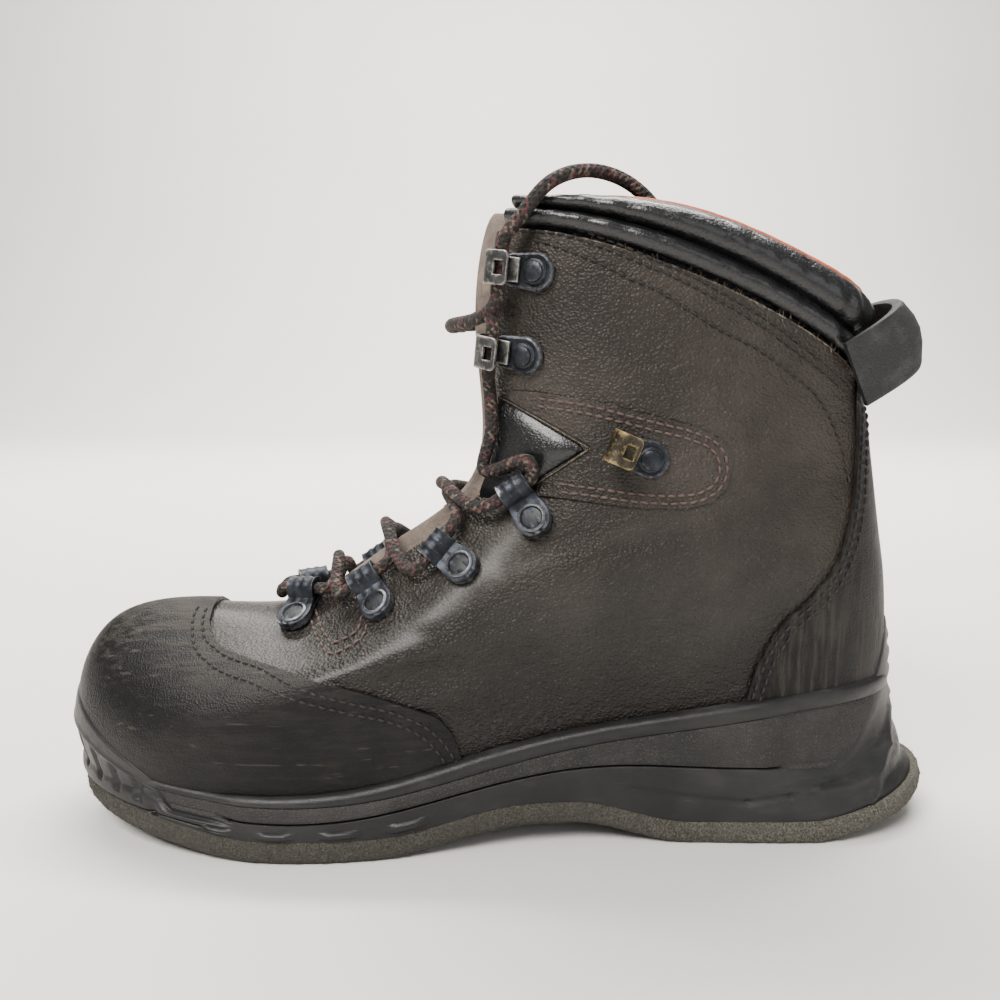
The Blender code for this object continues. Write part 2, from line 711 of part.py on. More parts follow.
def ankle_inserts():
    """Padded triangles let into the ankle's notches, level with the leather."""
    inlay = upper_grid(upper_levels(), UPPER_STEPS).clip(notch_field(-GAP))
    inlay.side("medial").shell("ankle_insert_medial", -UPPER_WALL / 2.0, 0.0, "pad")
    inlay.side("lateral").shell("ankle_insert_lateral", -UPPER_WALL / 2.0, 0.0, "pad")


def tongue():
    """Panel under the throat, from the vamp to above the collar."""
    levels = np.linspace(THROAT_BASE - 0.35, TONGUE_TOP, 13)
    patch = Patch()
    tuck = TONGUE_TUCK * (0.6 + 0.4 * rise(levels, levels[0], THROAT_BASE + 0.8))
    tuck += (COLLAR_CLEAR - 2.0 - TONGUE_TUCK) * rise(levels, 6.0, 7.2)
    reach = half_gap(levels) + tuck
    first = spokes_at_width(1, levels, reach)
    last = 2.0 * math.pi - spokes_at_width(-1, levels, reach)
    patch.add_grid(np.linspace(first, last, 9, axis=1), levels)
    top = -UPPER_WALL - 3.5 * GAP
    return patch.shell("tongue", top - TONGUE, top, "nubuck")


def collar():
    """Padded collar inside the leather's edge, two rolls above it, open at the throat."""
    profile = (
        # share of the way from tuck to top, offset from the surface
        (0.00, -UPPER_WALL - 3.0 * GAP),
        (0.34, -UPPER_WALL - 3.0 * GAP),
        (0.36, COLLAR_ROLL * 0.3),
        (0.45, COLLAR_ROLL),
        (0.56, COLLAR_ROLL * 0.5),
        (0.62, -0.8),
        (0.70, COLLAR_ROLL * 0.5),
        (0.82, COLLAR_ROLL * 0.6),
        (0.93, -1.4),
        (1.00, -4.0),
        (0.96, -7.2),
        (0.70, -COLLAR_PAD),
        (0.30, -COLLAR_PAD),
        (0.00, -COLLAR_PAD * 0.6),
    )
    first = spokes_at_width(1, COLLAR_EDGE, THROAT_TOP_WIDTH / 2.0 + COLLAR_CLEAR)[0]
    spoke = np.linspace(-first, first, 29)
    tuck_level = COLLAR_EDGE - COLLAR_TUCK / LEVEL_CLIMB
    bottom = 0.34
    rows = []
    for share, out in profile:
        if share <= bottom:
            level = tuck_level + (COLLAR_EDGE + SEAT_LEVEL - tuck_level) * share / bottom
        else:
            level = COLLAR_EDGE + SEAT_LEVEL + (COLLAR_TOP - COLLAR_EDGE) * (share - bottom) / (1 - bottom)
        rows.append(shifted(spoke, level, out))
    count = len(spoke)
    total = len(rows)
    points = np.vstack(rows)
    faces = []
    for k in range(total):
        n = (k + 1) % total
        for i in range(count - 1):
            faces.append([k * count + i, k * count + i + 1, n * count + i + 1, n * count + i])
    faces.append([k * count for k in range(total)])
    faces.append([k * count + count - 1 for k in range(total)])
    return solid("collar", points, faces, "pad")


# Strap, lacing hardware and lace
def bar(name, path, sheet, frame, width, slot):
    """Flat strip of metal: a path (ahead, out) given thickness and width."""
    path = np.array(path, float)
    run = np.gradient(path, axis=0)
    run /= np.linalg.norm(run, axis=1, keepdims=True)
    side = np.stack([-run[:, 1], run[:, 0]], axis=1) * sheet / 2.0
    points = []
    for flat in (path - side, path + side):
        for edge in (-width / 2.0, width / 2.0):
            points.append(on_frame(frame, flat[:, 0], edge, flat[:, 1]))
    count = len(path)
    points = np.vstack(points)
    order = (0, 1, 3, 2)
    faces = []
    for i in range(count - 1):
        for n in range(4):
            a, b = order[n] * count, order[(n + 1) % 4] * count
            faces.append([a + i, a + i + 1, b + i + 1, b + i])
    faces.append([k * count for k in order])
    faces.append([k * count + count - 1 for k in order])
    return solid(name, points, faces, slot)


def on_frame(frame, ahead, across, out):
    """Points from a seat's own directions."""
    origin, forward, along, normal = frame
    ahead = np.atleast_1d(np.asarray(ahead, float))
    across = np.broadcast_to(across, ahead.shape)
    out = np.broadcast_to(out, ahead.shape)
    return (origin + ahead[:, None] * forward + across[:, None] * along + out[:, None] * normal)


def seat(side, row):
    """Origin and directions of a fitting on the upper: ahead to the throat, along it, out.

    The fitting lies flat on what the surface has under it, tipped up where the surface climbs.
    """
    station, height, slope, inward = row
    spoke, level = locate(side, station * LENGTH, height * HEIGHT)
    origin = surface(spoke, level)[0]
    normal = surface_normal(spoke, level)[0]
    slope = math.radians(slope)
    aim = np.array([math.cos(slope), -side * inward, math.sin(slope)])
    forward = aim - normal * aim.dot(normal)
    forward /= np.linalg.norm(forward)
    turn, climb = np.meshgrid(np.linspace(-SEAT_TURN, SEAT_TURN, 41), np.linspace(-1.0, 1.0, 41))
    under = surface(spoke + turn.ravel(), np.clip(level + climb.ravel(), 0.0, COLLAR_TOP)) - origin
    tip = under[np.linalg.norm(under - forward * LOOP_BARREL, axis=1).argmin()]
    forward = forward * LOOP_BARREL + normal * max(0.0, tip.dot(normal))
    forward /= np.linalg.norm(forward)
    normal = normal - forward * normal.dot(forward)
    normal /= np.linalg.norm(normal)
    along = np.cross(normal, forward)
    if along.dot((-1.0, 0.0, 1.0)) < 0:
        along = -along
    near = (under.dot(forward) > -PLATE_WIDTH / 2.0) & (under.dot(forward) < LOOP_BARREL + 2.0)
    near &= np.abs(under.dot(along)) < PLATE_WIDTH / 2.0
    lift = under[near].dot(normal).max()
    return origin + normal * (lift + FACET_GAP), forward, along, normal


def turned(name, profile, frame, slot, steps=10):
    """Round piece about a seat's normal, from a profile (radius, out)."""
    points = []
    for radius, out in profile:
        for k in range(steps):
            angle = 2.0 * math.pi * k / steps
            points.append(on_frame(frame, radius * math.cos(angle), radius * math.sin(angle), out)[0])
    faces = []
    for row in range(len(profile) - 1):
        for k in range(steps):
            n = (k + 1) % steps
            faces.append([row * steps + k, row * steps + n, (row + 1) * steps + n, (row + 1) * steps + k])
    faces.append(list(range(steps)))
    faces.append([(len(profile) - 1) * steps + k for k in range(steps)])
    return solid(name, points, faces, slot)


def rivet(name, frame, under, radius):
    profile = ((radius, under), (radius, under + 0.5), (radius * 0.72, under + RIVET_RISE),
               (radius * 0.2, under + RIVET_RISE + 0.2))
    return turned(name, profile, frame, "coated_metal")


def loop_path():
    """Tab folded round the lace: out over the throat's edge and back on itself."""
    radius = (LOOP_BORE + LOOP_SHEET) / 2.0
    low = LOOP_SHEET / 2.0
    high = low + LOOP_SHEET + GAP
    path = [(-5.0, low), (LOOP_BARREL - 2.0, low)]
    for k in range(9):
        angle = math.radians(-90 + 27.5 * k)
        path.append((LOOP_BARREL + radius * math.cos(angle), low + radius + radius * math.sin(angle)))
    path += [(LOOP_BARREL - radius * 1.15, high + 0.8), (RIVET / 2.0 + GAP, high), (-5.0, high)]
    return path


def lace_loops():
    for side, word in ((1, "medial"), (-1, "lateral")):
        for k, row in enumerate(LOOP_SEATS):
            frame = seat(side, row)
            bar(f"lace_loop_{word}_{k + 1}", loop_path(), LOOP_SHEET, frame, LOOP_WIDTH, "coated_metal")
            rivet(f"loop_rivet_{word}_{k + 1}", frame, 2.0 * LOOP_SHEET + 2.0 * GAP, RIVET / 2.0)


def hook_path():
    """Hook bent up from its plate, over the lace and back."""
    low = PLATE + GAP + HOOK_SHEET / 2.0
    radius = (HOOK_BORE + HOOK_SHEET) / 2.0
    path = [(5.2, low), (HOOK_REACH - radius, low)]
    for k in range(1, 8):
        angle = math.radians(-90 + 25 * k)
        path.append((HOOK_REACH - radius + radius * math.cos(angle), low + radius + radius * math.sin(angle)))
    path.append((HOOK_REACH - radius - 6.0, low + 2.0 * radius + 0.4))
    return path


def hooks():
    for side, word in ((1, "medial"), (-1, "lateral")):
        for k, row in enumerate(HOOK_SEATS):
            frame = seat(side, row)
            plate_points = []
            half = PLATE_LENGTH / 2.0 - PLATE_WIDTH / 2.0
            for out in (0.0, PLATE):
                for n in range(16):
                    angle = 2.0 * math.pi * (n + 0.5) / 16
                    ahead = math.cos(angle) * PLATE_WIDTH / 2.0
                    ahead += half * 2.0 if math.cos(angle) > 0 else 0.0
                    across = math.sin(angle) * PLATE_WIDTH / 2.0
                    plate_points.append(on_frame(frame, ahead, across, out)[0])
            faces = [[n, (n + 1) % 16, 16 + (n + 1) % 16, 16 + n] for n in range(16)]
            faces += [list(range(16)), list(range(16, 32))]
            solid(f"hook_plate_{word}_{k + 1}", plate_points, faces, "coated_metal")
            rivet(f"hook_rivet_{word}_{k + 1}", frame, PLATE + GAP, RIVET / 2.0)
            bar(f"hook_{word}_{k + 1}", hook_path(), HOOK_SHEET, frame, HOOK_WIDTH, "steel")


def smooth_route(points, spacing):
    """Evenly spaced points on a smooth curve through hand-placed ones."""
    points = np.array(points, float)
    step = np.linalg.norm(np.diff(points, axis=0), axis=1)
    knots = np.concatenate([[0.0], np.cumsum(step)])
    slope = np.gradient(points, knots, axis=0)
    at = np.linspace(0.0, knots[-1], 30 * len(points))
    left = np.clip(np.searchsorted(knots, at, side="right") - 1, 0, len(points) - 2)
    t = ((at - knots[left]) / step[left])[:, None]
    s = 1.0 - t
    lead = step[left][:, None]
    curve = points[left] * (1.0 + 2.0 * t) * s * s + points[left + 1] * (3.0 - 2.0 * t) * t * t
    curve += lead * t * s * (slope[left] * s - slope[left + 1] * t)
    lengths = np.concatenate([[0.0], np.cumsum(np.linalg.norm(np.diff(curve, axis=0), axis=1))])
    number = max(3, int(round(lengths[-1] / spacing)))
    at = np.linspace(0.0, lengths[-1], number + 1)
    return np.stack([np.interp(at, lengths, curve[:, axis]) for axis in range(3)], axis=1)


def led_route(points, spacing):
    """A smooth route whose first and last stretches run straight out of what holds them."""
    return np.vstack([points[:1], smooth_route(points[1:-1], spacing), points[-1:]])


def cord(name, points):
    """Lace as a curve with round bevel and filled ends."""
    route = led_route(points, LACE * 2.2)
    data = bpy.data.curves.new(name, "CURVE")
    data.dimensions = "3D"
    data.bevel_depth = LACE / 2.0 * MM
    data.bevel_resolution = 2
    data.use_fill_caps = True
    spline = data.splines.new("POLY")
    spline.points.add(len(route) - 1)
    for point, place in zip(spline.points, route):
        point.co = ((place[0] - ORIGIN_STATION) * MM, place[1] * MM, place[2] * MM, 1.0)
    item = bpy.data.objects.new(name, data)
    bpy.context.scene.collection.objects.link(item)
    data.materials.append(material("lace"))
    return item


def loop_end(side, number, end, clear):
    """A place in line with a lace loop's bore; end is -1 at the toe's side, 1 above."""
    frame = seat(side, LOOP_SEATS[number])
    out = (LOOP_BORE + 2.0 * LOOP_SHEET) / 2.0
    return on_frame(frame, LOOP_BARREL, end * (LOOP_WIDTH / 2.0 + clear), out)[0]


def loop_turn(side, number):
    """A place where the lace turns forward round a loop's upper corner."""
    frame = seat(side, LOOP_SEATS[number])
    out = (LOOP_BORE + 2.0 * LOOP_SHEET) / 2.0 + LACE / 2.0
    return on_frame(frame, LOOP_BARREL + LACE, LOOP_WIDTH / 2.0 + LACE, out)[0]


def hook_end(side, number, end, clear):
    """A place in line with a hook's curl; end is -1 below it, 1 above."""
    frame = seat(side, HOOK_SEATS[number])
    out = PLATE + 2.0 * GAP + HOOK_SHEET + LACE / 2.0
    ahead = HOOK_REACH - HOOK_SHEET - HOOK_BORE / 2.0
    return on_frame(frame, ahead, end * (HOOK_WIDTH / 2.0 + clear), out)[0]


def over_ridge(level, out):
    return shifted(math.pi, level, out)[0]


def tube(name, points):
    """Lace as a mesh tube, for crossings that are joined."""
    route = led_route(points, LACE * 1.6)
    run = np.gradient(route, axis=0)
    run /= np.linalg.norm(run, axis=1, keepdims=True)
    across = np.cross(run, (0.0, 0.0, 1.0))
    across /= np.linalg.norm(across, axis=1, keepdims=True)
    lift = np.cross(across, run)
    sides = 6
    angles = 2.0 * math.pi * (np.arange(sides) + 0.5) / sides
    rings = [route + (across * math.cos(a) + lift * math.sin(a)) * LACE / 2.0 for a in angles]
    points = np.vstack(rings)
    count = len(route)
    faces = []
    for k in range(sides):
        n = (k + 1) % sides
        for i in range(count - 1):
            faces.append([k * count + i, k * count + i + 1, n * count + i + 1, n * count + i])
    faces.append([k * count for k in range(sides)])
    faces.append([k * count + count - 1 for k in range(sides)])
    return solid(name, points, faces, "lace")


def crossing(name, first, second):
    """Two bars of the lace that cross and touch, joined."""
    one = tube(name, first)
    other = tube(name + "_over", second)
    other.hide_render = True
    other.display_type = "WIRE"
    join = one.modifiers.new("join", "BOOLEAN")
    join.operation = "UNION"
    join.object = other
    return one


def lace():
    """Bars across the throat between the loops, the runs to the hooks and the loose end."""
    near = CLEAR_END
    cord("lace_bar", [loop_end(1, 0, -1, near), loop_end(1, 0, -1, near + LEAD),
                      over_ridge(BAR_LEVEL, LACE * 0.8),
                      loop_end(-1, 0, -1, near + LEAD), loop_end(-1, 0, -1, near)])
    for k, level in enumerate(CROSS_LEVELS):
        bars = []
        for side, out in ((1, LACE * 1.0), (-1, LACE * 1.75)):
            bars.append([loop_end(side, k, 1, near), loop_end(side, k, 1, near + LEAD),
                         over_ridge(level, out),
                         loop_end(-side, k + 1, -1, near + LEAD), loop_end(-side, k + 1, -1, near)])
        crossing(f"lace_crossing_{k + 1}", *bars)
    for side, word in ((1, "medial"), (-1, "lateral")):
        rail = []
        for level, wide in RUN_RAILS:
            spoke = spokes_at_width(side, level, wide)[0]
            spoke = spoke if side > 0 else 2.0 * math.pi - spoke
            rail.append(shifted(spoke, level, LACE * 1.15)[0])
        cord(f"lace_run_{word}", [loop_end(side, 3, 1, near), loop_end(side, 3, 1, near + LEAD),
                                  loop_turn(side, 3), *rail,
                                  hook_end(side, 1, -1, near + LEAD), hook_end(side, 1, -1, near)])
    bars = []
    for side, out in ((1, HIGH_CROSS_OUT), (-1, HIGH_CROSS_OUT + LACE * 0.75)):
        bars.append([hook_end(side, 1, 1, near), hook_end(side, 1, 1, near + LEAD),
                     over_ridge(HIGH_CROSS, out),
                     hook_end(-side, 2, -1, near + LEAD), hook_end(-side, 2, -1, near)])
    crossing("lace_crossing_4", *bars)
    route = [(station * LENGTH, side * BALL_WIDTH, height * HEIGHT)
             for station, side, height in LACE_END_ROUTE]
    cord("lace_end", [hook_end(1, 2, 1, near), hook_end(1, 2, 1, near + LEAD), *route])


def pull_loop():
    """Wide strap round the heel's back, out from under the collar on both sides."""
    origin = np.array([STRAP_SEAT[0] * LENGTH, 0.0, STRAP_SEAT[1] * HEIGHT])
    back = np.array([-math.cos(STRAP_LEAN), 0.0, math.sin(STRAP_LEAN)])
    down = np.array([-math.sin(STRAP_LEAN), 0.0, -math.cos(STRAP_LEAN)])
    frame = (origin, back, down, np.array([0.0, 1.0, 0.0]))
    turn = np.linspace(0.0, math.pi, STRAP_STEPS + 1)
    rows = []
    for inset in (0.0, STRAP):
        for across, share, reach in STRAP_EDGES:
            half = share * BALL_WIDTH
            ahead = STRAP_ROOT + (reach - inset - STRAP_ROOT) * np.sin(turn) ** 0.8
            rows.append(on_frame(frame, ahead, across, (half - inset) * np.cos(turn)))
    points = np.vstack(rows)
    count = len(turn)
    order = (0, 1, 3, 2)
    faces = [[k * count for k in order], [k * count + count - 1 for k in order]]
    for i in range(count - 1):
        for n in range(4):
            a, b = order[n] * count, order[(n + 1) % 4] * count
            faces.append([a + i, a + i + 1, b + i + 1, b + i])
    return solid("pull_loop", points, faces, "webbing")


def build():
    clear_scene()
    felt_outsole()
    rubber_outsole()
    midsole()
    rand()
    insole()
    upper()
    toe_cap()
    heel_counter()
    ankle_inserts()
    tongue()
    collar()
    pull_loop()
    lace_loops()
    hooks()
    lace()


build()
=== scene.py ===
"""Wading boot, right foot, dressed for its picture: leather, rubber, felt, metal and lace.

Sizes are in mm. A station is a distance forward of the heel's back, a spoke is an angle
round the last from the heel's back over the inner side to the toe, and a level counts the
rings of the upper from the feather edge to the collar's top.
"""
import json
import math

import bmesh
import bpy
import numpy as np
from mathutils import Matrix, Vector

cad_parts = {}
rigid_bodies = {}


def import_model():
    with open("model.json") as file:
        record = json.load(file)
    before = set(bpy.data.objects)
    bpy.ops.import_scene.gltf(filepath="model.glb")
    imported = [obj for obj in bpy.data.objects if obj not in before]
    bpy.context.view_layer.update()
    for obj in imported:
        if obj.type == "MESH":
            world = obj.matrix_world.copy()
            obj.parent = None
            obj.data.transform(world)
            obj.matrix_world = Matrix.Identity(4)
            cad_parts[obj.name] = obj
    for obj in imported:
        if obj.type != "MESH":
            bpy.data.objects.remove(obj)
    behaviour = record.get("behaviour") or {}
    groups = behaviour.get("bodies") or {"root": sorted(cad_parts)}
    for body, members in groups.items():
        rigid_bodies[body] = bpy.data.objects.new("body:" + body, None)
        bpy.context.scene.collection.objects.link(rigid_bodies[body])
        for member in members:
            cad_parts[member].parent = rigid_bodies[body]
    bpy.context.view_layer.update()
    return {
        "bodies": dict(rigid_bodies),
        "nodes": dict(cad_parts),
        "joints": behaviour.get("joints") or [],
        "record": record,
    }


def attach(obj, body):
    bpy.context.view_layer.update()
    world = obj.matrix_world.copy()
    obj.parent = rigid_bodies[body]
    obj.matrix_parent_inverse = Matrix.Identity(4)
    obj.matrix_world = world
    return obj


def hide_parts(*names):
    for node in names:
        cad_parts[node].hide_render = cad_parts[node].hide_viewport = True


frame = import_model()

# Camera, floor and light. A photographer's sweep of pale paper under four soft boxes,
# seen by a short lens from the boot's inner side and a little above.
MM = 0.001
LENGTH = 325.0
ORIGIN_STATION = 0.200 * LENGTH
CAMERA_STATION, CAMERA_SIDE, CAMERA_HEIGHT = 165.4, 336.0, 168.5
CAMERA_DROP = math.atan(135.0 / 900.0)


def place(station, side, height):
    return Vector(((station - ORIGIN_STATION) * MM, side * MM, height * MM))


def all_set_aside():
    bpy.ops.object.select_all(action="DESELECT")


all_set_aside()
lens = bpy.data.cameras.new("camera")
lens.lens = 32.4
lens.sensor_width = 36.0
lens.clip_start = 0.01
camera = bpy.data.objects.new("camera", lens)
bpy.context.scene.collection.objects.link(camera)
camera.matrix_world = (Matrix.Translation(place(CAMERA_STATION, CAMERA_SIDE, CAMERA_HEIGHT))
                       @ Matrix.Rotation(math.pi, 4, "Z")
                       @ Matrix.Rotation(math.pi / 2 - CAMERA_DROP, 4, "X"))
bpy.context.scene.camera = camera


def soft_box(name, at, aim, width, height, power, colour):
    light = bpy.data.lights.new(name, "AREA")
    light.shape = "RECTANGLE"
    light.size, light.size_y = width, height
    light.energy = power
    light.color = colour
    item = bpy.data.objects.new(name, light)
    bpy.context.scene.collection.objects.link(item)
    item.location = at
    item.rotation_euler = (Vector(aim) - Vector(at)).to_track_quat("-Z", "Y").to_euler()


soft_box("key_light", (0.55, 0.75, 1.05), (0.08, 0.0, 0.10), 0.7, 0.5, 33.0, (1.0, 0.97, 0.93))
soft_box("front_light", (-0.75, 0.95, 0.55), (0.08, 0.0, 0.10), 0.9, 0.7, 4.2, (0.95, 0.97, 1.0))
soft_box("top_light", (0.0, -0.25, 1.25), (0.10, 0.0, 0.08), 1.0, 0.7, 13.0, (1.0, 0.98, 0.96))
soft_box("wall_light", (0.10, -0.75, 1.75), (0.10, -2.3, 0.35), 2.2, 0.7, 250.0, (1.0, 0.965, 0.92))
world = bpy.data.worlds.new("studio")
bpy.context.scene.world = world
world.use_nodes = True
world.node_tree.nodes["Background"].inputs["Color"].default_value = (0.93, 0.91, 0.885, 1.0)
world.node_tree.nodes["Background"].inputs["Strength"].default_value = 0.23


class Reading:
    """A number or colour that varies over a surface; sums on it add Math nodes."""

    def __init__(self, finish, socket):
        self.finish = finish
        self.socket = socket

    def sum(self, operation, first, second):
        return self.finish.node("ShaderNodeMath", {"operation": operation}, {0: first, 1: second})

    def __add__(self, other):
        return self.sum("ADD", self, other)

    def __radd__(self, other):
        return self.sum("ADD", other, self)

    def __sub__(self, other):
        return self.sum("SUBTRACT", self, other)

    def __rsub__(self, other):
        return self.sum("SUBTRACT", other, self)

    def __mul__(self, other):
        return self.sum("MULTIPLY", self, other)

    def __rmul__(self, other):
        return self.sum("MULTIPLY", other, self)

    def alone(self, operation):
        return self.finish.node("ShaderNodeMath", {"operation": operation}, {0: self})

    def above(self, other):
        return self.sum("MAXIMUM", self, other)


class Finish:
    """One surface finish: a material whose nodes are added by one method."""

    def __init__(self, name, roughness=0.5, metallic=0.0, **steady):
        self.material = bpy.data.materials.new(name)
        self.material.use_nodes = True
        self.tree = self.material.node_tree
        self.shader = self.tree.nodes["Principled BSDF"]
        self.shader.inputs["Roughness"].default_value = roughness
        self.shader.inputs["Metallic"].default_value = metallic
        for key, value in steady.items():
            self.shader.inputs[key.replace("_", " ")].default_value = value

    def node(self, kind, settings=None, inputs=None, output=0):
        made = self.tree.nodes.new(kind)
        for key, value in (settings or {}).items():
            if key == "stops":
                ramp = made.color_ramp.elements
                while len(ramp) < len(value):
                    ramp.new(1.0)
                for stop, (at, colour) in zip(ramp, value):
                    stop.position = at
                    stop.color = (*colour, 1.0)
            else:
                setattr(made, key, value)
        for key, value in (inputs or {}).items():
            socket = made.inputs[key]
            if isinstance(value, Reading):
                self.tree.links.new(value.socket, socket)
            else:
                socket.default_value = value
        return Reading(self, made.outputs[output])

    def here(self, stretch=(1.0, 1.0, 1.0), turn=(0.0, 0.0, 0.0)):
        """Places on the piece in metres, stretched and turned."""
        coords = self.node("ShaderNodeTexCoord", output="Object")
        return self.node("ShaderNodeMapping", None,
                         {"Vector": coords, "Scale": stretch, "Rotation": turn})

    def noise(self, per_metre, detail=3.0, rough=0.5, at=None):
        return self.node("ShaderNodeTexNoise", None, {
            "Vector": at or self.here(), "Scale": per_metre, "Detail": detail,
            "Roughness": rough})

    def cells(self, per_metre, at=None, feature="F1", randomness=1.0):
        return self.node("ShaderNodeTexVoronoi", {"feature": feature}, {
            "Vector": at or self.here(), "Scale": per_metre, "Randomness": randomness})

    def between(self, value, low, high):
        """0 below low, 1 above high, eased between."""
        return self.node("ShaderNodeMapRange", {"interpolation_type": "SMOOTHSTEP"}, {
            "Value": value, "From Min": low, "From Max": high})

    def blend(self, share, first, second):
        made = self.tree.nodes.new("ShaderNodeMix")
        made.data_type = "RGBA"
        for socket, value in ((made.inputs[0], share), (made.inputs[6], first),
                              (made.inputs[7], second)):
            if isinstance(value, Reading):
                self.tree.links.new(value.socket, socket)
            elif isinstance(value, (int, float)):
                socket.default_value = value
            else:
                socket.default_value = (*value, 1.0)
        return Reading(self, made.outputs[2])

    def part(self, vector, axis):
        return self.node("ShaderNodeSeparateXYZ", None, {"Vector": vector}, output=axis)

    def wear(self, socket, value):
        """Feeds one of the shader's own sockets."""
        target = self.shader.inputs[socket]
        if isinstance(value, Reading):
            self.tree.links.new(value.socket, target)
        elif isinstance(value, (int, float)):
            target.default_value = value
        else:
            target.default_value = (*value, 1.0)

    def colour(self, value, low, high, first, second):
        """Base colour that goes from one to the other while a value rises."""
        self.wear("Base Color", self.blend(self.between(value, low, high), first, second))

    def relief(self, *layers):
        """Bumps laid over each other: each a height reading and its depth in metres."""
        normal = None
        for height, depth in layers:
            inputs = {"Height": height, "Distance": depth, "Strength": 1.0}
            if normal:
                inputs["Normal"] = normal
            normal = self.node("ShaderNodeBump", None, inputs)
        self.wear("Normal", normal)


paper = Finish("pale_paper", roughness=0.85)
paper.wear("Base Color", paper.blend(paper.noise(3.0, 4.0), (0.60, 0.585, 0.565), (0.65, 0.635, 0.61)))
bpy.ops.mesh.primitive_plane_add(size=6.0, location=(0.1, 0.0, 0.0))
floor = bpy.context.object
floor.name = "floor"
bpy.ops.object.mode_set(mode="EDIT")
bpy.ops.mesh.select_all(action="DESELECT")
bpy.ops.object.mode_set(mode="OBJECT")
for edge in floor.data.edges:
    edge.select = all(floor.data.vertices[v].co.y < -1.0 for v in edge.vertices)
bpy.ops.object.mode_set(mode="EDIT")
bpy.ops.mesh.select_mode(type="EDGE")
bpy.ops.mesh.extrude_region_move(TRANSFORM_OT_translate={"value": (0.0, 0.0, 3.5)})
bpy.ops.mesh.select_all(action="SELECT")
bpy.ops.object.mode_set(mode="OBJECT")
fold = floor.modifiers.new("sweep", "BEVEL")
fold.width = 1.2
fold.segments = 24
fold.limit_method = "ANGLE"
bpy.ops.object.modifier_apply(modifier=fold.name)
bpy.ops.object.transform_apply(location=True, rotation=True, scale=True)
bpy.ops.object.shade_smooth()
floor.data.materials.append(paper.material)

# Upper. One hollow lasted boot of dark brown waxed leather, about 2 mm with its lining,
# drawn over the last: the rings below are that last, and every overlay is cut from it.
BALL_WIDTH = 108.0
HEIGHT = 222.0
SOLE_HEIGHT = 56.0
WALL = 2.0
GAP = 0.3
FEATHER_BACK = 0.065
FEATHER_FRONT = 0.980
SOLE_ROWS = (
    # medial, lateral, footbed, rubber, midsole, rand, one row every 15 degrees
    (0.000, 0.000, 0.660, 0.480, 0.890, 1.000),
    (0.125, 0.125, 0.660, 0.480, 0.890, 1.000),
    (0.227, 0.227, 0.660, 0.470, 0.880, 0.990),
    (0.282, 0.285, 0.660, 0.480, 0.840, 0.945),
    (0.296, 0.310, 0.655, 0.500, 0.760, 0.865),
    (0.296, 0.338, 0.610, 0.505, 0.660, 0.760),
    (0.338, 0.398, 0.490, 0.415, 0.520, 0.615),
    (0.407, 0.449, 0.345, 0.285, 0.385, 0.460),
    (0.426, 0.454, 0.300, 0.250, 0.360, 0.415),
    (0.372, 0.390, 0.335, 0.285, 0.390, 0.435),
    (0.287, 0.270, 0.392, 0.328, 0.445, 0.485),
    (0.165, 0.110, 0.440, 0.384, 0.485, 0.520),
    (0.028, -0.028, 0.460, 0.406, 0.500, 0.535),
)
MEDIAL, LATERAL, FOOTBED, RUBBER_TOP, MIDSOLE_TOP, RAND_TOP = range(6)
UPPER_RINGS = (
    # back, back z, front, front z, rise 45, 90, 135, half width 30, 60, 90, 120, 150
    (0.063, 0.270, 1.000, 0.200, 0.018, -0.004, -0.027, 0.233, 0.306, 0.347, 0.437, 0.290),
    (0.066, 0.342, 0.954, 0.329, 0.018, -0.020, -0.068, 0.236, 0.315, 0.352, 0.412, 0.240),
    (0.071, 0.414, 0.825, 0.354, 0.020, -0.004, -0.050, 0.231, 0.315, 0.347, 0.360, 0.170),
    (0.080, 0.486, 0.726, 0.369, 0.022, 0.027, 0.000, 0.227, 0.310, 0.343, 0.315, 0.142),
    (0.089, 0.558, 0.628, 0.464, 0.027, 0.018, 0.000, 0.218, 0.296, 0.333, 0.294, 0.142),
    (0.097, 0.622, 0.535, 0.590, 0.022, 0.022, 0.013, 0.208, 0.282, 0.324, 0.296, 0.167),
    (0.103, 0.671, 0.535, 0.802, 0.018, 0.031, 0.013, 0.208, 0.287, 0.333, 0.315, 0.194),
    (0.108, 0.712, 0.526, 0.964, 0.038, 0.052, 0.027, 0.213, 0.296, 0.347, 0.333, 0.213),
    (0.101, 0.860, 0.511, 1.003, 0.018, 0.050, 0.026, 0.218, 0.301, 0.347, 0.329, 0.204),
)
LATERAL_FULLNESS = (0.15, 0.10, 0.06, 0.03, 0.0, 0.0, 0.0, 0.0, 0.0)
COLLAR_EDGE = 8.0
THROAT_BASE = 4.06
THROAT_ROUND = 0.9
THROAT_TOP_WIDTH = 34.0
THROAT_BASE_WIDTH = 25.0
NOTCH_TOP = (0.510, 0.708)
NOTCH_TIP = (0.418, 0.633)
NOTCH_FOOT = (0.500, 0.552)
FULL_TURN = 2.0 * math.pi


def eased(x, start, end):
    t = np.clip((x - start) / (end - start), 0.0, 1.0)
    return t * t * (3.0 - 2.0 * t)


def unit(vectors):
    return vectors / np.linalg.norm(vectors, axis=-1, keepdims=True)


def off_line(points, a, b):
    """Share along a line drawn in side view, and distance from it, of places in mm."""
    run = b - a
    share = np.clip((points[:, [0, 2]] - a) @ run / run.dot(run), 0.0, 1.0)
    return share, np.linalg.norm(points[:, [0, 2]] - a - share[:, None] * run, axis=1)


def ring_faces(rings, count, first=0):
    """Faces between rings of places, each joined to the next."""
    return [[first + r * count + k, first + r * count + (k + 1) % count,
             first + (r + 1) * count + (k + 1) % count, first + (r + 1) * count + k]
            for r in range(rings - 1) for k in range(count)]


known_curves = {}


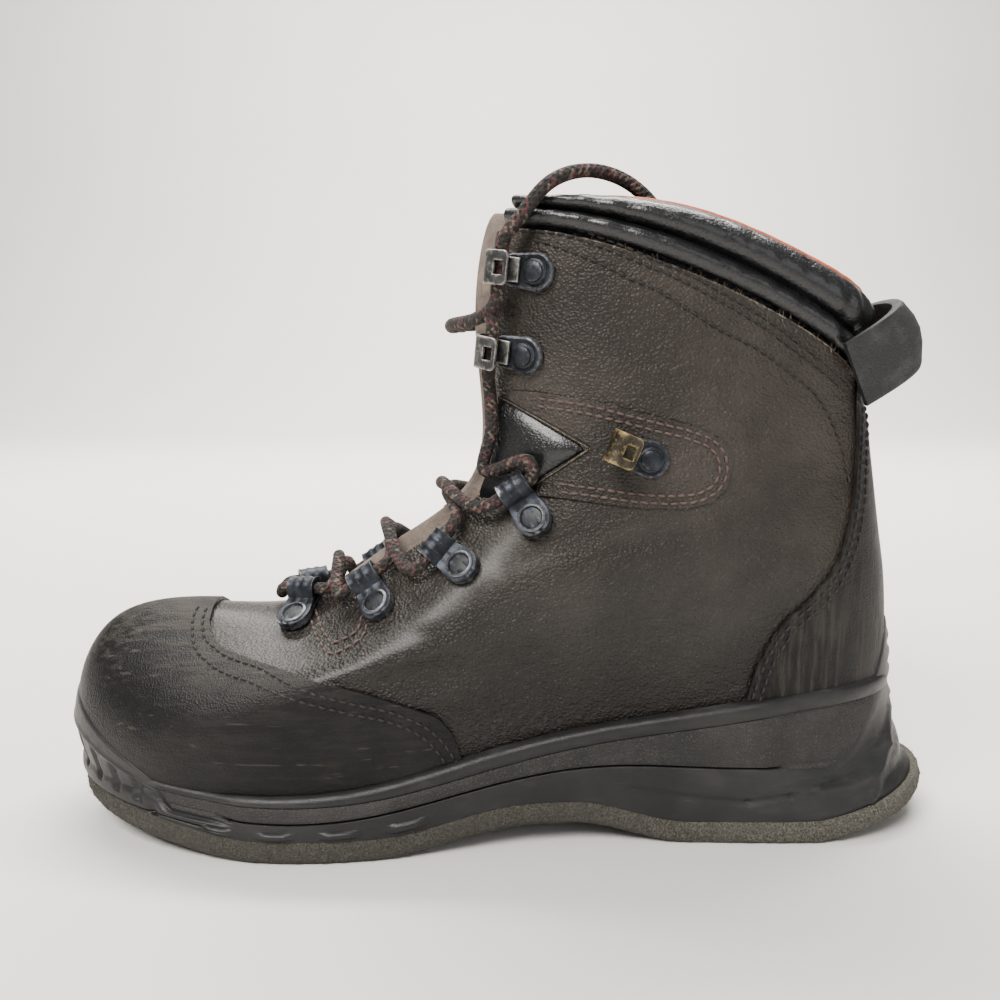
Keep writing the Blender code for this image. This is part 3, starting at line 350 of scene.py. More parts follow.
def round_spline(values, spoke):
    """Closed cubic spline through equally spaced values, read at angles."""
    values = np.asarray(values, float)
    count = len(values)
    key = values.tobytes()
    if key not in known_curves:
        index = np.arange(count)
        system = np.zeros((count, count))
        system[index, index] = 4.0
        system[index, (index + 1) % count] = 1.0
        system[index, (index - 1) % count] = 1.0
        bend = 6.0 * (np.roll(values, 1) - 2.0 * values + np.roll(values, -1))
        known_curves[key] = np.linalg.solve(system, bend)
    curve = known_curves[key]
    x = np.mod(np.asarray(spoke, float) / FULL_TURN, 1.0) * count
    left = np.floor(x).astype(int) % count
    right = (left + 1) % count
    t = x - np.floor(x)
    s = 1.0 - t
    return (s * values[left] + t * values[right]
            + ((s ** 3 - s) * curve[left] + (t ** 3 - t) * curve[right]) / 6.0)


def long_spline(values, x):
    """Natural cubic spline through the rings at 0, 1, 2 and so on."""
    count = len(values)
    system = np.eye(count)
    bend = np.zeros_like(values)
    for row in range(1, count - 1):
        system[row, row - 1:row + 2] = (1.0, 4.0, 1.0)
        bend[row] = 6.0 * (values[row - 1] - 2.0 * values[row] + values[row + 1])
    curve = np.linalg.solve(system, bend.reshape(count, -1)).reshape(values.shape)
    left = np.clip(np.floor(x).astype(int), 0, count - 2)
    t = (x - left)[:, None]
    s = 1.0 - t
    column = np.arange(len(x))
    return (s * values[left, column] + t * values[left + 1, column]
            + ((s ** 3 - s) * curve[left, column] + (t ** 3 - t) * curve[left + 1, column]) / 6.0)


def both_sides(rows):
    return list(rows) + list(rows[-2:0:-1])


def sole_height(column, spoke):
    return round_spline(both_sides([row[column] for row in SOLE_ROWS]), spoke) * SOLE_HEIGHT


def feather(spoke):
    """Plan of the last's lower edge: station and side."""
    along = (1.0 - np.cos(spoke)) / 2.0
    station = (FEATHER_BACK + (FEATHER_FRONT - FEATHER_BACK) * along) * LENGTH
    medial = [row[MEDIAL] for row in SOLE_ROWS]
    lateral = [-row[LATERAL] for row in SOLE_ROWS]
    return station, round_spline(medial + lateral[-2:0:-1], spoke) * BALL_WIDTH


def last_ring(row, fullness, spoke):
    back, back_z, front, front_z = row[0:4]
    along = (1.0 - np.cos(spoke)) / 2.0
    station = (back + (front - back) * along) * LENGTH
    lift = round_spline(both_sides([0.0, *row[4:7], 0.0]), spoke)
    height = (back_z + (front_z - back_z) * along + lift) * HEIGHT
    widths = list(row[7:12])
    outer = [width * (1.0 + fullness * (1.0 if number in (2, 3) else 0.3))
             for number, width in enumerate(widths)]
    loop = [0.0] + widths + [0.0] + [-width for width in outer[::-1]]
    return np.stack([station, round_spline(loop, spoke) * BALL_WIDTH, height], axis=-1)


def smooth_last(spoke, level):
    """Places on the last as (station, side, height)."""
    spoke = np.atleast_1d(np.asarray(spoke, float))
    level = np.broadcast_to(np.asarray(level, float), spoke.shape)
    station, side = feather(spoke)
    rings = [np.stack([station, side, sole_height(FOOTBED, spoke) + GAP], axis=-1)]
    for row, fullness in zip(UPPER_RINGS, LATERAL_FULLNESS):
        rings.append(last_ring(row, fullness, spoke))
    return long_spline(np.stack(rings), level)


def last_normal(spoke, level):
    step = 1e-3
    spoke = np.atleast_1d(np.asarray(spoke, float))
    level = np.broadcast_to(np.asarray(level, float), spoke.shape)
    across = smooth_last(spoke + step, level) - smooth_last(spoke - step, level)
    up = smooth_last(spoke, level + step) - smooth_last(spoke, level - step)
    return unit(np.cross(up, across))


# Creases of wear, drawn in side view: a soft trough or, with a negative depth, a swelling
CREASES = (
    # side, station and height of one end, of the other, half width, depth
    (0, 0.700, 0.262, 0.560, 0.300, 7.0, 1.5),
    (0, 0.690, 0.310, 0.560, 0.372, 7.0, -1.1),
    (0, 0.610, 0.225, 0.500, 0.262, 6.0, -0.8),
    (0, 0.560, 0.330, 0.470, 0.400, 5.0, 0.9),
    (0, 0.500, 0.450, 0.400, 0.520, 5.0, 0.9),
    (0, 0.470, 0.350, 0.360, 0.410, 8.0, -0.8),
    (0, 0.420, 0.480, 0.330, 0.500, 5.0, 0.6),
    (0, 0.300, 0.400, 0.200, 0.520, 9.0, 0.7),
    (0, 0.250, 0.560, 0.180, 0.700, 8.0, -0.7),
    (0, 0.380, 0.760, 0.330, 0.860, 8.0, 0.5),
    (1, 0.640, 0.345, 0.575, 0.352, 3.5, 0.6),
    (1, 0.330, 0.300, 0.250, 0.380, 6.0, 0.5),
    (-1, 0.620, 0.330, 0.540, 0.320, 4.0, 0.7),
    (-1, 0.350, 0.320, 0.240, 0.360, 6.0, 0.6),
)


def worn(points):
    """How far wear has pushed the surface out at places on the last."""
    out = np.zeros(len(points))
    for side, s0, z0, s1, z1, width, depth in CREASES:
        share, miss = off_line(points, np.array([s0 * LENGTH, z0 * HEIGHT]),
                               np.array([s1 * LENGTH, z1 * HEIGHT]))
        fade = 1.0 if side == 0 else eased(side * points[:, 1], 4.0, 14.0)
        taper = 0.35 + 0.65 * np.sin(math.pi * np.clip(share, 0.02, 0.98))
        out -= depth * taper * fade * np.exp(-(miss / width) ** 2)
    return out * eased(points[:, 2], 40.0, 62.0)


def upper_surface(spoke, level, out=0.0):
    """Places a distance outside the worn upper."""
    spoke = np.atleast_1d(np.asarray(spoke, float))
    out = np.broadcast_to(np.asarray(out, float), spoke.shape)
    base = smooth_last(spoke, level)
    return base + last_normal(spoke, level) * (out + worn(base))[:, None]


half_spokes, half_levels = [grid.ravel() for grid in np.meshgrid(
    np.linspace(0.05, math.pi - 0.05, 70), np.linspace(0, 9, 70))]
half_places = {1: smooth_last(half_spokes, half_levels),
               -1: smooth_last(FULL_TURN - half_spokes, half_levels)}


def find_place(side, station, height):
    """Spoke and level of a place seen in side view; side is 1 for medial, -1 for lateral."""
    miss = (half_places[side][:, 0] - station) ** 2 + (half_places[side][:, 2] - height) ** 2
    nearest = miss.argmin()
    spoke = half_spokes[nearest] if side > 0 else FULL_TURN - half_spokes[nearest]
    level = half_levels[nearest]
    for _ in range(4 if miss[nearest] < 16.0 else 0):
        here = smooth_last(spoke, level)[0][[0, 2]]
        turn = (smooth_last(spoke + 1e-3, level)[0][[0, 2]] - here) / 1e-3
        climb = (smooth_last(spoke, level + 1e-3)[0][[0, 2]] - here) / 1e-3
        step = np.linalg.lstsq(np.stack([turn, climb], axis=1),
                               np.array([station, height]) - here, rcond=None)[0]
        spoke += np.clip(step[0], -0.05, 0.05)
        level += np.clip(step[1], -0.15, 0.15)
    return spoke, level


class Cut:
    """A piece of leather marked on the last: faces whose corners are a spoke and a level."""

    def __init__(self):
        self.corners = []
        self.faces = []
        self.known = {}

    def corner(self, spoke, level):
        key = (round(spoke % FULL_TURN, 6) % round(FULL_TURN, 6), round(level, 6))
        if key not in self.known:
            self.known[key] = len(self.corners)
            self.corners.append((spoke % FULL_TURN, level))
        return self.known[key]

    def lay(self, spokes, levels):
        rows = [[self.corner(spoke, level) for spoke in row] for row, level in zip(spokes, levels)]
        for low, high in zip(rows, rows[1:]):
            for i in range(len(low) - 1):
                ids = [low[i], low[i + 1], high[i + 1], high[i]]
                face = [v for n, v in enumerate(ids) if v != ids[n - 1]]
                if len(set(face)) > 2:
                    self.faces.append(face)

    def trim(self, field):
        """Keeps what lies above the field's zero line."""
        array = np.array(self.corners)
        value = field(smooth_last(array[:, 0], array[:, 1]), array[:, 0], array[:, 1])
        value = np.where(np.abs(value) < 0.02, 0.02, value)
        kept = Cut()
        for face in self.faces:
            loop = []
            for n, a in enumerate(face):
                b = face[(n + 1) % len(face)]
                if value[a] > 0:
                    loop.append(kept.corner(*self.corners[a]))
                if value[a] * value[b] < 0:
                    t = value[a] / (value[a] - value[b])
                    one, two = self.corners[a], self.corners[b]
                    turn = (two[0] - one[0] + math.pi) % FULL_TURN - math.pi
                    loop.append(kept.corner(one[0] + turn * t, one[1] + (two[1] - one[1]) * t))
            unique = [v for n, v in enumerate(loop) if v != loop[n - 1]]
            if len(set(unique)) > 2:
                kept.faces.append(unique)
        return kept

    def sewn(self, name, low, high, finish, edge_round=0.0):
        """A piece between two offsets of the last; an offset may be a function."""
        array = np.array(self.corners)
        spoke, level = array[:, 0], array[:, 1]
        lower = low(spoke, level) if callable(low) else low
        upper = high(spoke, level) if callable(high) else high
        points = np.vstack([upper_surface(spoke, level, upper), upper_surface(spoke, level, lower)])
        count = len(array)
        faces = [list(face) for face in self.faces]
        faces += [[v + count for v in face[::-1]] for face in self.faces]
        uses = {}
        for face in self.faces:
            for n, a in enumerate(face):
                edge = tuple(sorted((a, face[(n + 1) % len(face)])))
                uses[edge] = uses.get(edge, 0) + 1
        faces += [[a, b, b + count, a + count] for (a, b), n in uses.items() if n == 1]
        return made_piece(name, points, faces, finish, edge_round)


def made_piece(name, points, faces, finish, edge_round=0.0, sharp=40.0, marks=None):
    """A closed mesh from places in mm, with its edges eased by a bevel; marks are its UV map."""
    mesh = bpy.data.meshes.new(name)
    metres = np.asarray(points, float) * MM
    metres[:, 0] -= ORIGIN_STATION * MM
    mesh.from_pydata(metres.tolist(), [], [list(map(int, face)) for face in faces])
    if marks:
        spots = np.array([mark for face in marks for mark in face], np.float32)
        mesh.uv_layers.new(name="UVMap").data.foreach_set("uv", spots.ravel())
    bm = bmesh.new()
    bm.from_mesh(mesh)
    bmesh.ops.recalc_face_normals(bm, faces=bm.faces)
    if bm.calc_volume(signed=True) < 0.0:
        bmesh.ops.reverse_faces(bm, faces=bm.faces)
    bm.to_mesh(mesh)
    bm.free()
    mesh.shade_smooth()
    mesh.set_sharp_from_angle(angle=math.radians(sharp))
    item = bpy.data.objects.new(name, mesh)
    bpy.context.scene.collection.objects.link(item)
    item.data.materials.append(finish.material)
    if edge_round:
        soften(item, edge_round)
    return item


def soften(item, width, segments=2, angle=40.0):
    all_set_aside()
    item.select_set(True)
    bpy.context.view_layer.objects.active = item
    bevel = item.modifiers.new("edge", "BEVEL")
    bevel.width = width * MM
    bevel.segments = segments
    bevel.limit_method = "ANGLE"
    bevel.angle_limit = math.radians(angle)
    bevel.harden_normals = False
    bpy.ops.object.modifier_apply(modifier=bevel.name)


def half_gap(level):
    """Half width of the throat's opening, round at its base."""
    climb = np.clip((level - THROAT_BASE) / THROAT_ROUND, 0.0, 1.0)
    base, top = THROAT_BASE_WIDTH / 2.0, THROAT_TOP_WIDTH / 2.0
    return (base + (top - base) * eased(level, THROAT_BASE, COLLAR_EDGE)) * np.sqrt(
        1.0 - (1.0 - climb) ** 2)


def turn_at_width(side, levels, half_widths):
    """Spoke where the last is a half width from the middle in front."""
    levels = np.atleast_1d(np.asarray(levels, float))
    half_widths = np.broadcast_to(half_widths, levels.shape)
    near = np.full(levels.shape, math.radians(105))
    far = np.full(levels.shape, math.pi)
    for _ in range(24):
        middle = (near + far) / 2.0
        wide = np.abs(smooth_last(middle if side > 0 else FULL_TURN - middle, levels)[:, 1]) > half_widths
        near = np.where(wide, middle, near)
        far = np.where(wide, far, middle)
    turn = np.where(half_widths > 0.0, near, math.pi)
    return turn if side > 0 else FULL_TURN - turn


def marked_upper(levels, steps):
    """The whole upper marked on the last, open at the throat."""
    cut = Cut()
    gaps = half_gap(levels)
    for side in (1, -1):
        edges = turn_at_width(side, levels, gaps)
        start = np.zeros(len(levels)) if side > 0 else np.full(len(levels), FULL_TURN)
        cut.lay(np.linspace(start, edges, steps + 1, axis=1), levels)
    return cut


def notch(grow):
    """Positive inside the ankle's triangular notch, widened by grow."""
    top, tip, foot = [np.array([s * LENGTH, z * HEIGHT]) for s, z in (NOTCH_TOP, NOTCH_TIP, NOTCH_FOOT)]

    def beyond(points, a, b):
        run = (b - a) / np.linalg.norm(b - a)
        return (points[:, 2] - a[1]) * run[0] - (points[:, 0] - a[0]) * run[1]

    def field(points, spoke, level):
        wedge = np.minimum(beyond(points, tip, foot), beyond(points, top, tip))
        band = np.minimum(points[:, 2] - foot[1], top[1] - points[:, 2])
        return np.minimum(wedge, band + 1.0) + grow

    return field


FINE_LEVELS = np.concatenate([
    np.linspace(0.0, THROAT_BASE, 62),
    (THROAT_BASE + THROAT_ROUND * (1.0 - np.cos(np.linspace(0.0, math.pi / 2, 18))))[1:],
    np.linspace(THROAT_BASE + THROAT_ROUND, COLLAR_EDGE, 52)[1:]])
FINE_STEPS = 118

hide = Finish("waxed_leather", roughness=0.42, Coat_Roughness=0.27, Specular_IOR_Level=0.26)
grain = hide.cells(900.0, hide.here((1.0, 1.0, 1.2)))
pores = hide.noise(2600.0, 2.0, 0.6)
folds = hide.noise(170.0, 4.0, 0.62, hide.here((1.0, 1.0, 1.5), (0.0, 0.7, 0.0)))
large = hide.noise(24.0, 3.0, 0.55)
streaks = hide.noise(75.0, 5.0, 0.65, hide.here((0.35, 1.0, 1.0), (0.0, -0.7, 0.0)))
high = hide.part(hide.here(), 2)
rubbed = hide.between(large * 0.6 + streaks * 0.4, 0.46, 0.66)
tone = hide.blend(hide.between(large, 0.32, 0.68), (0.0115, 0.0083, 0.0060), (0.0250, 0.0188, 0.0138))
tone = hide.blend(rubbed * 0.38, tone, (0.040, 0.034, 0.028))
tone = hide.blend(hide.between(pores, 0.62, 0.78) * 0.35, tone, (0.006, 0.005, 0.0045))
# Painted shade: the leather is darkened towards the bottom of the boot, where its lower sides lie in
# shade.
tone = hide.blend((1.0 - hide.between(high, 0.050, 0.130)) * 0.85, tone, (0.0052, 0.0041, 0.0032))
hide.wear("Base Color", tone)
hide.wear("Roughness", 0.27 + 0.16 * streaks + 0.08 * grain)
hide.wear("Coat Weight", 0.03 + 0.20 * large + 0.16 * hide.between(high, 0.045, 0.100))
hide.relief((large, 0.0016), (folds, 0.0009), (grain, 0.00042), (pores, 0.00014))

marked = marked_upper(FINE_LEVELS, FINE_STEPS)
open_notch = notch(0.0)
upper = marked.trim(lambda points, spoke, level: -open_notch(points, spoke, level)).sewn(
    "upper_leather", -WALL, 0.0, hide)
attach(upper, "root")
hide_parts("upper")

# Toe cap and heel counter. Black scuff-proof sheet about 1.4 mm thick, cut with a raw edge
# and laid over the leather, held along the edge by two rows of stitches.
OVERLAY = 1.4
LIFT = 0.3
HEEL_CUP_TOP = 75.0
TOE_BUMPER_TOP = 50.0
CUP_ANGLE = math.radians(36)
BUMPER_ANGLE = math.radians(137)
CUP_FLAT = math.radians(7)
SOLE_TUCK = 2.0
EDGE_ROUND = 0.35
CAP_EDGE = ((0.540, 0.090), (0.551, 0.150), (0.560, 0.189), (0.575, 0.219), (0.604, 0.236),
            (0.644, 0.259), (0.683, 0.276), (0.725, 0.285), (0.771, 0.292), (0.810, 0.301),
            (0.828, 0.313), (0.839, 0.332), (0.841, 0.348), (0.830, 0.400))
COUNTER_EDGE = ((0.250, 0.200), (0.243, 0.228), (0.236, 0.275), (0.220, 0.329),
                (0.203, 0.364), (0.179, 0.394), (0.156, 0.431), (0.142, 0.471),
                (0.132, 0.532), (0.129, 0.616), (0.126, 0.760))


def from_heel(spoke):
    """Turn away from the heel's back, the same on both sides."""
    return np.abs((spoke + math.pi) % FULL_TURN - math.pi)


def wall_top(spoke):
    """Upper edge of the rubber: low beside the midsole, high as heel cup and toe bumper."""
    turn = from_heel(spoke)
    low = sole_height(RUBBER_TOP, spoke)
    cup = 1.0 - eased(turn, CUP_FLAT, CUP_ANGLE)
    climb = np.clip((turn - BUMPER_ANGLE) / (math.pi - BUMPER_ANGLE), 0.0, 1.0)
    bump = 0.15 * eased(turn, BUMPER_ANGLE, BUMPER_ANGLE + 0.07) + 0.85 * (1.0 - (1.0 - climb) ** 2)
    return low + (HEEL_CUP_TOP - low) * cup + (TOE_BUMPER_TOP - low) * bump


def ahead_of(rows):
    """Distance ahead of an edge drawn in side view, measured square to it."""
    line = np.array([(station * LENGTH, height * HEIGHT) for station, height in rows])

    def field(points, spoke, level):
        ahead = points[:, 0] - np.interp(points[:, 2], line[:, 1], line[:, 0])
        near = np.full(len(points), 1e9)
        for a, b in zip(line, line[1:]):
            near = np.minimum(near, off_line(points, a, b)[1])
        return np.sign(ahead) * near

    return field


def above_sole(points, spoke, level):
    return points[:, 2] - np.maximum(sole_height(RAND_TOP, spoke), wall_top(spoke)) + SOLE_TUCK


def scuffed_sheet(name, stretch, turn, lighter_from, lighter_to, lighter_share):
    """Black overlay whose scuffs run one way, with lighter patches grown along a height ramp; on the toe
    cap they make the top lighter and the lower cap darker, painted light over real scuffs.
    """
    sheet = Finish(name, roughness=0.55, Specular_IOR_Level=0.19)
    weave = sheet.cells(1500.0)
    drag = sheet.noise(420.0, 4.0, 0.7, sheet.here(stretch, turn))
    haze = sheet.noise(26.0, 4.0, 0.6)
    # Lighter patches: real scuff dust grown along a height ramp; on the toe cap the ramp keeps the top
    # lighter and the lower cap darker, painted light from above.
    tall = sheet.between(sheet.part(sheet.here(), 2), lighter_from, lighter_to)
    lighter_patches = sheet.between(drag * 0.65 + haze * 0.35, 0.44, 0.62) * (0.15 + 0.85 * tall)
    black = sheet.blend(sheet.between(haze, 0.35, 0.7), (0.0036, 0.0035, 0.0035), (0.0085, 0.0081, 0.0078))
    black = sheet.blend(lighter_patches * lighter_share, black, (0.060, 0.052, 0.044))
    scratch = sheet.noise(900.0, 2.0, 0.5, sheet.here(tuple(0.5 * part for part in stretch), turn))
    scratched = sheet.between(scratch, 0.66, 0.72) * 0.30
    sheet.wear("Base Color", sheet.blend(scratched, black, (0.075, 0.067, 0.058)))
    sheet.wear("Roughness", 0.42 + 0.24 * lighter_patches + 0.06 * weave)
    sheet.relief((haze, 0.0010), (weave, 0.00016), (drag, 0.00020))
    return sheet


# Toe cap: scuffs with painted light, lighter on top and darker low down; heel counter: scuffs gather
# towards the ground.
toe_sheet = scuffed_sheet("toe_overlay", (0.10, 1.0, 1.3), (0.0, -0.55, 0.0), 0.048, 0.085, 0.60)
heel_sheet = scuffed_sheet("heel_overlay", (1.3, 1.0, 0.10), (0.0, 0.06, 0.0), 0.150, 0.060, 0.50)

covered = marked.trim(above_sole)
ahead_of_cap = ahead_of(CAP_EDGE)
ahead_of_counter = ahead_of(COUNTER_EDGE)
toe_cap = covered.trim(ahead_of_cap).sewn("toe_cap_overlay", LIFT, LIFT + OVERLAY, toe_sheet, EDGE_ROUND)
counter = covered.trim(lambda points, spoke, level: -ahead_of_counter(points, spoke, level)).sewn(
    "heel_counter_overlay", LIFT, LIFT + OVERLAY, heel_sheet, EDGE_ROUND)
for piece, node in ((toe_cap, "toe_cap"), (counter, "heel_counter")):
    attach(piece, "root")
    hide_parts(node)

# Sole. Felt skived at the edge and glued under a moulded rubber shell that climbs into a
# heel cup and a toe bumper; a grainy foam wedge and a thin rubber rand fill in above it.
FELT = 8.0
ARCH_LIFT = 8.0
TOE_SPRING = 13.0
HEEL_CURL = 12.0
HEEL_FLAT_START = 0.160
HEEL_FLAT_END = 0.300
ARCH_TOP = 0.465
BALL_FLAT_START = 0.645
BALL_FLAT_END = 0.770
SOLE_SIDE = 5.8
FELT_BACK = 18.0
FELT_FRONT = 5.2
FELT_PROFILE = ((9.0, 0.0), (1.4, 0.0), (0.5, 0.10), (0.0, 0.30),
                (0.05, 0.62), (0.55, 0.88), (1.1, 1.0), (9.0, 1.0))
RUBBER_BACK = 14.5
SHELTER = 3.4
CUP_WALL = 3.0
RAND_OUT = 4.8
BACK_SPREAD = math.radians(62)
FRONT_SPREAD = math.radians(125)
MIDDLE_BACK = 10.5
MIDDLE_FRONT = 6.8
HUG_INSIDE = 1.72
HUG_FOOT = 3.4
HUG_THINNING = 1.15
FUZZ = 0.16
HAIR_HALF = 0.11
HAIRS_A_RING = 420
NUB_SPOKES = tuple(math.radians(angle) for angle in (101, 110, 119, 128))
FINE_SPOKES = 520


def outline(spoke, out, height):
    """The feather line moved outward in plan."""
    step = 1e-3
    run = unit(np.stack(feather(spoke + step), axis=-1) - np.stack(feather(spoke - step), axis=-1))
    station, side = feather(spoke)
    out = np.broadcast_to(out, spoke.shape)
    height = np.broadcast_to(height, spoke.shape)
    return np.stack([station - run[:, 1] * out, side + run[:, 0] * out, height], axis=-1)


def wall_level(spoke, height):
    steps = np.linspace(0.0, 1.6, 33)
    heights = np.stack([smooth_last(spoke, step)[:, 2] for step in steps])
    return np.array([np.interp(height[k], heights[:, k], steps) for k in range(len(spoke))])


def beside_wall(spoke, height, out):
    """Sole ring beside the upper: a plan offset below its edge, an offset of it above."""
    height = np.broadcast_to(height, spoke.shape)
    out = np.broadcast_to(out, spoke.shape)
    edge = sole_height(FOOTBED, spoke) + GAP
    level = wall_level(spoke, np.maximum(height, edge))
    raised = smooth_last(spoke, level) + last_normal(spoke, level) * out[:, None]
    raised[:, 2] = height
    share = eased(height, edge - 1.5, edge + 1.5)[:, None]
    return outline(spoke, out, height) * (1.0 - share) + raised * share


def spread(spoke, side, back, front):
    turn = from_heel(spoke)
    behind = 1.0 - eased(turn, 0.0, BACK_SPREAD)
    ahead = eased(turn, FRONT_SPREAD, math.pi)
    return side + (back - side) * behind + (front - side) * ahead


def tread(station):
    share = station / LENGTH
    curl = HEEL_CURL * np.clip((HEEL_FLAT_START - share) / HEEL_FLAT_START, 0.0, 1.0) ** 1.2
    arch = ARCH_LIFT * eased(share, HEEL_FLAT_END, ARCH_TOP - 0.03)
    arch *= 1.0 - eased(share, ARCH_TOP + 0.01, BALL_FLAT_START)
    spring = np.clip((share - BALL_FLAT_END) / (1.0 - BALL_FLAT_END), 0.0, 1.0)
    return curl + arch + TOE_SPRING * spring ** 1.3


def openness(spoke):
    turn = from_heel(spoke)
    step = FULL_TURN / 52
    behind = eased(turn, CUP_ANGLE + step, CUP_ANGLE + 2.0 * step)
    return behind * (1.0 - eased(turn, BUMPER_ANGLE - 2.0 * step, BUMPER_ANGLE - step))


def stacked(name, rings, finish, sharp=40.0):
    """A closed piece through rings round the sole, its two ends closed across."""
    count = len(rings[0])
    faces = ring_faces(len(rings), count)
    for start in (0, (len(rings) - 1) * count):
        for i in range(count // 2):
            face = [i, i + 1, (count - i - 1) % count, (count - i) % count]
            faces.append([start + v for n, v in enumerate(face) if v != face[n - 1]])
    return made_piece(name, np.vstack(rings), faces, finish, sharp=sharp)


around = np.arange(FINE_SPOKES) * FULL_TURN / FINE_SPOKES
felt = Finish("pressed_felt", roughness=0.98)
hairs = felt.noise(1500.0, 3.0, 0.7)
tufts = felt.noise(420.0, 5.0, 0.75)
damp = felt.noise(30.0, 3.0, 0.6)
wool = felt.blend(felt.between(hairs, 0.38, 0.62), (0.018, 0.017, 0.014), (0.165, 0.154, 0.126))
wool = felt.blend(felt.between(tufts, 0.42, 0.60) * 0.55, wool, (0.060, 0.053, 0.040))
wool = felt.blend(felt.between(damp, 0.35, 0.65) * 0.4, wool, (0.085, 0.080, 0.066))
# Painted shade: the felt is darkened under the forefoot, where the sole lies in shadow.
forefoot_shade = felt.between(felt.part(felt.here(), 0), -0.010, 0.090)
felt.wear("Base Color", felt.blend(forefoot_shade * 0.60, wool, (0.024, 0.022, 0.018)))
felt.relief((tufts, 0.0016), (hairs, 0.0006))

rng = np.random.default_rng(7)
under = []
felt_out = spread(around, SOLE_SIDE, FELT_BACK, FELT_FRONT)
for inset, share in FELT_PROFILE:
    fuzz = rng.normal(0.0, FUZZ, FINE_SPOKES) if 0.0 < share < 1.0 else 0.0
    ring = outline(around, felt_out - inset + fuzz, 0.0)
    ring[:, 2] = tread(ring[:, 0]) + FELT * share
    under.append(ring)
felt_sole = stacked("felt_sole", under, felt, sharp=70.0)


class Heap:
    """Many small shapes gathered into one mesh."""

    def __init__(self):
        self.points = []
        self.faces = []
        self.count = 0

    def add(self, points, faces):
        points = np.asarray(points)
        self.faces += [[v + self.count for v in face] for face in faces]
        self.points.append(points)
        self.count += len(points)

    def made(self, name, finish, edge_round=0.0, sharp=40.0):
        return made_piece(name, np.vstack(self.points), self.faces, finish, edge_round, sharp)


def hair(heap, root, drift, thick, bow):
    """A three-sided fibre from a root, bowed on its way to its tip."""
    angle = np.arange(3) * FULL_TURN / 3
    ring = np.stack([np.cos(angle), np.sin(angle), np.zeros(3)], axis=1) * thick
    heap.add(np.vstack([root + ring, root + drift * 0.55 + bow + ring * 0.75, root + drift + ring * 0.4]),
             ring_faces(3, 3) + [[0, 1, 2], [6, 7, 8]])


fuzz_hairs = Heap()
for ring in under[2:6]:
    for spoke_number in rng.choice(FINE_SPOKES, HAIRS_A_RING, replace=False):
        root = ring[spoke_number]
        outward = ring[spoke_number] - ring.mean(axis=0)
        outward[2] = 0.0
        outward = unit(outward)
        lift = rng.uniform(-0.2, 0.9) if root[2] > 2.0 else rng.uniform(0.1, 0.8)
        drift = outward * rng.uniform(0.4, 1.3) + np.array([*rng.normal(0.0, 0.5, 2), lift])
        hair(fuzz_hairs, root - outward * 0.3, drift, HAIR_HALF, rng.normal(0.0, 0.12, 3))
felt_fuzz = fuzz_hairs.made("felt_fuzz", felt)
for piece in (felt_sole, felt_fuzz):
    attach(piece, "root")
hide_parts("felt_outsole")

rubber = Finish("moulded_rubber", roughness=0.55, Specular_IOR_Level=0.36)
mould = rubber.noise(1900.0, 2.0, 0.6)
scuff = rubber.noise(260.0, 5.0, 0.72, rubber.here((0.22, 1.0, 1.0), (0.0, -0.35, 0.0)))
grime = rubber.noise(34.0, 4.0, 0.6)
pale = rubber.between(scuff * 0.7 + grime * 0.3, 0.50, 0.68)
body = rubber.blend(rubber.between(grime, 0.35, 0.7), (0.0066, 0.0066, 0.0070), (0.0140, 0.0138, 0.0135))
rubber.wear("Base Color", rubber.blend(pale * 0.28, body, (0.052, 0.049, 0.044)))
rubber.wear("Roughness", 0.42 + 0.28 * pale + 0.05 * mould)
rubber.relief((grime, 0.0006), (scuff, 0.00020), (mould, 0.00010))

SOLE_CREASES = (
    # station and height of one end, of the other, half width, depth, all mm
    (118.0, 20.0, 99.8, 16.9, 1.3, 0.7), (99.8, 16.9, 77.2, 15.0, 1.3, 0.9),
    (77.2, 15.0, 62.5, 16.9, 1.3, 0.9), (62.5, 16.9, 50.0, 20.5, 1.3, 0.7),
    (16.0, 44.0, 22.0, 30.3, 1.8, -1.1), (22.0, 30.3, 31.5, 13.0, 1.8, -1.0),
    (52.0, 19.5, 44.0, 27.0, 1.6, -0.6), (286.5, 16.0, 285.0, -2.0, 1.5, 1.2),
)
BUMPER_SLOTS = tuple(math.radians(angle) for angle in (144, 150, 156, 163, 171))


def carved(ring):
    """How far the moulding's creases and ribs move the rubber's side out."""
    out = np.zeros(len(ring))
    for s0, z0, s1, z1, width, depth in SOLE_CREASES:
        miss = off_line(ring, np.array([s0, z0]), np.array([s1, z1]))[1]
        out -= depth * np.exp(-(miss / width) ** 2)
    return out


side_turn = np.minimum(around, FULL_TURN - around)
nub = np.max([np.exp(-((side_turn - at) / 0.040) ** 6) for at in NUB_SPOKES], axis=0)
slots = np.max([np.exp(-((side_turn - at) / 0.014) ** 4) for at in BUMPER_SLOTS], axis=0)
hugs = 1.0 - openness(around)
at_toe = hugs * (side_turn > 1.6)
at_heel = hugs * (side_turn < 1.6)
base_out = spread(around, SOLE_SIDE - 0.9, RUBBER_BACK, FELT_FRONT - 1.0)
foot_ring = outline(around, base_out, 0.0)
foot_ring[:, 2] = tread(foot_ring[:, 0]) + FELT + 0.1
top_z = wall_top(around)
low_z = sole_height(RUBBER_TOP, around)
middle_z = foot_ring[:, 2] + (low_z - foot_ring[:, 2]) * 0.55
outer = spread(around, SOLE_SIDE - 1.0, SHELTER + CUP_WALL - 0.4, SHELTER + CUP_WALL - 0.6)
middle_out = spread(around, SOLE_SIDE - 0.9, MIDDLE_BACK, MIDDLE_FRONT)
rings = [foot_ring]
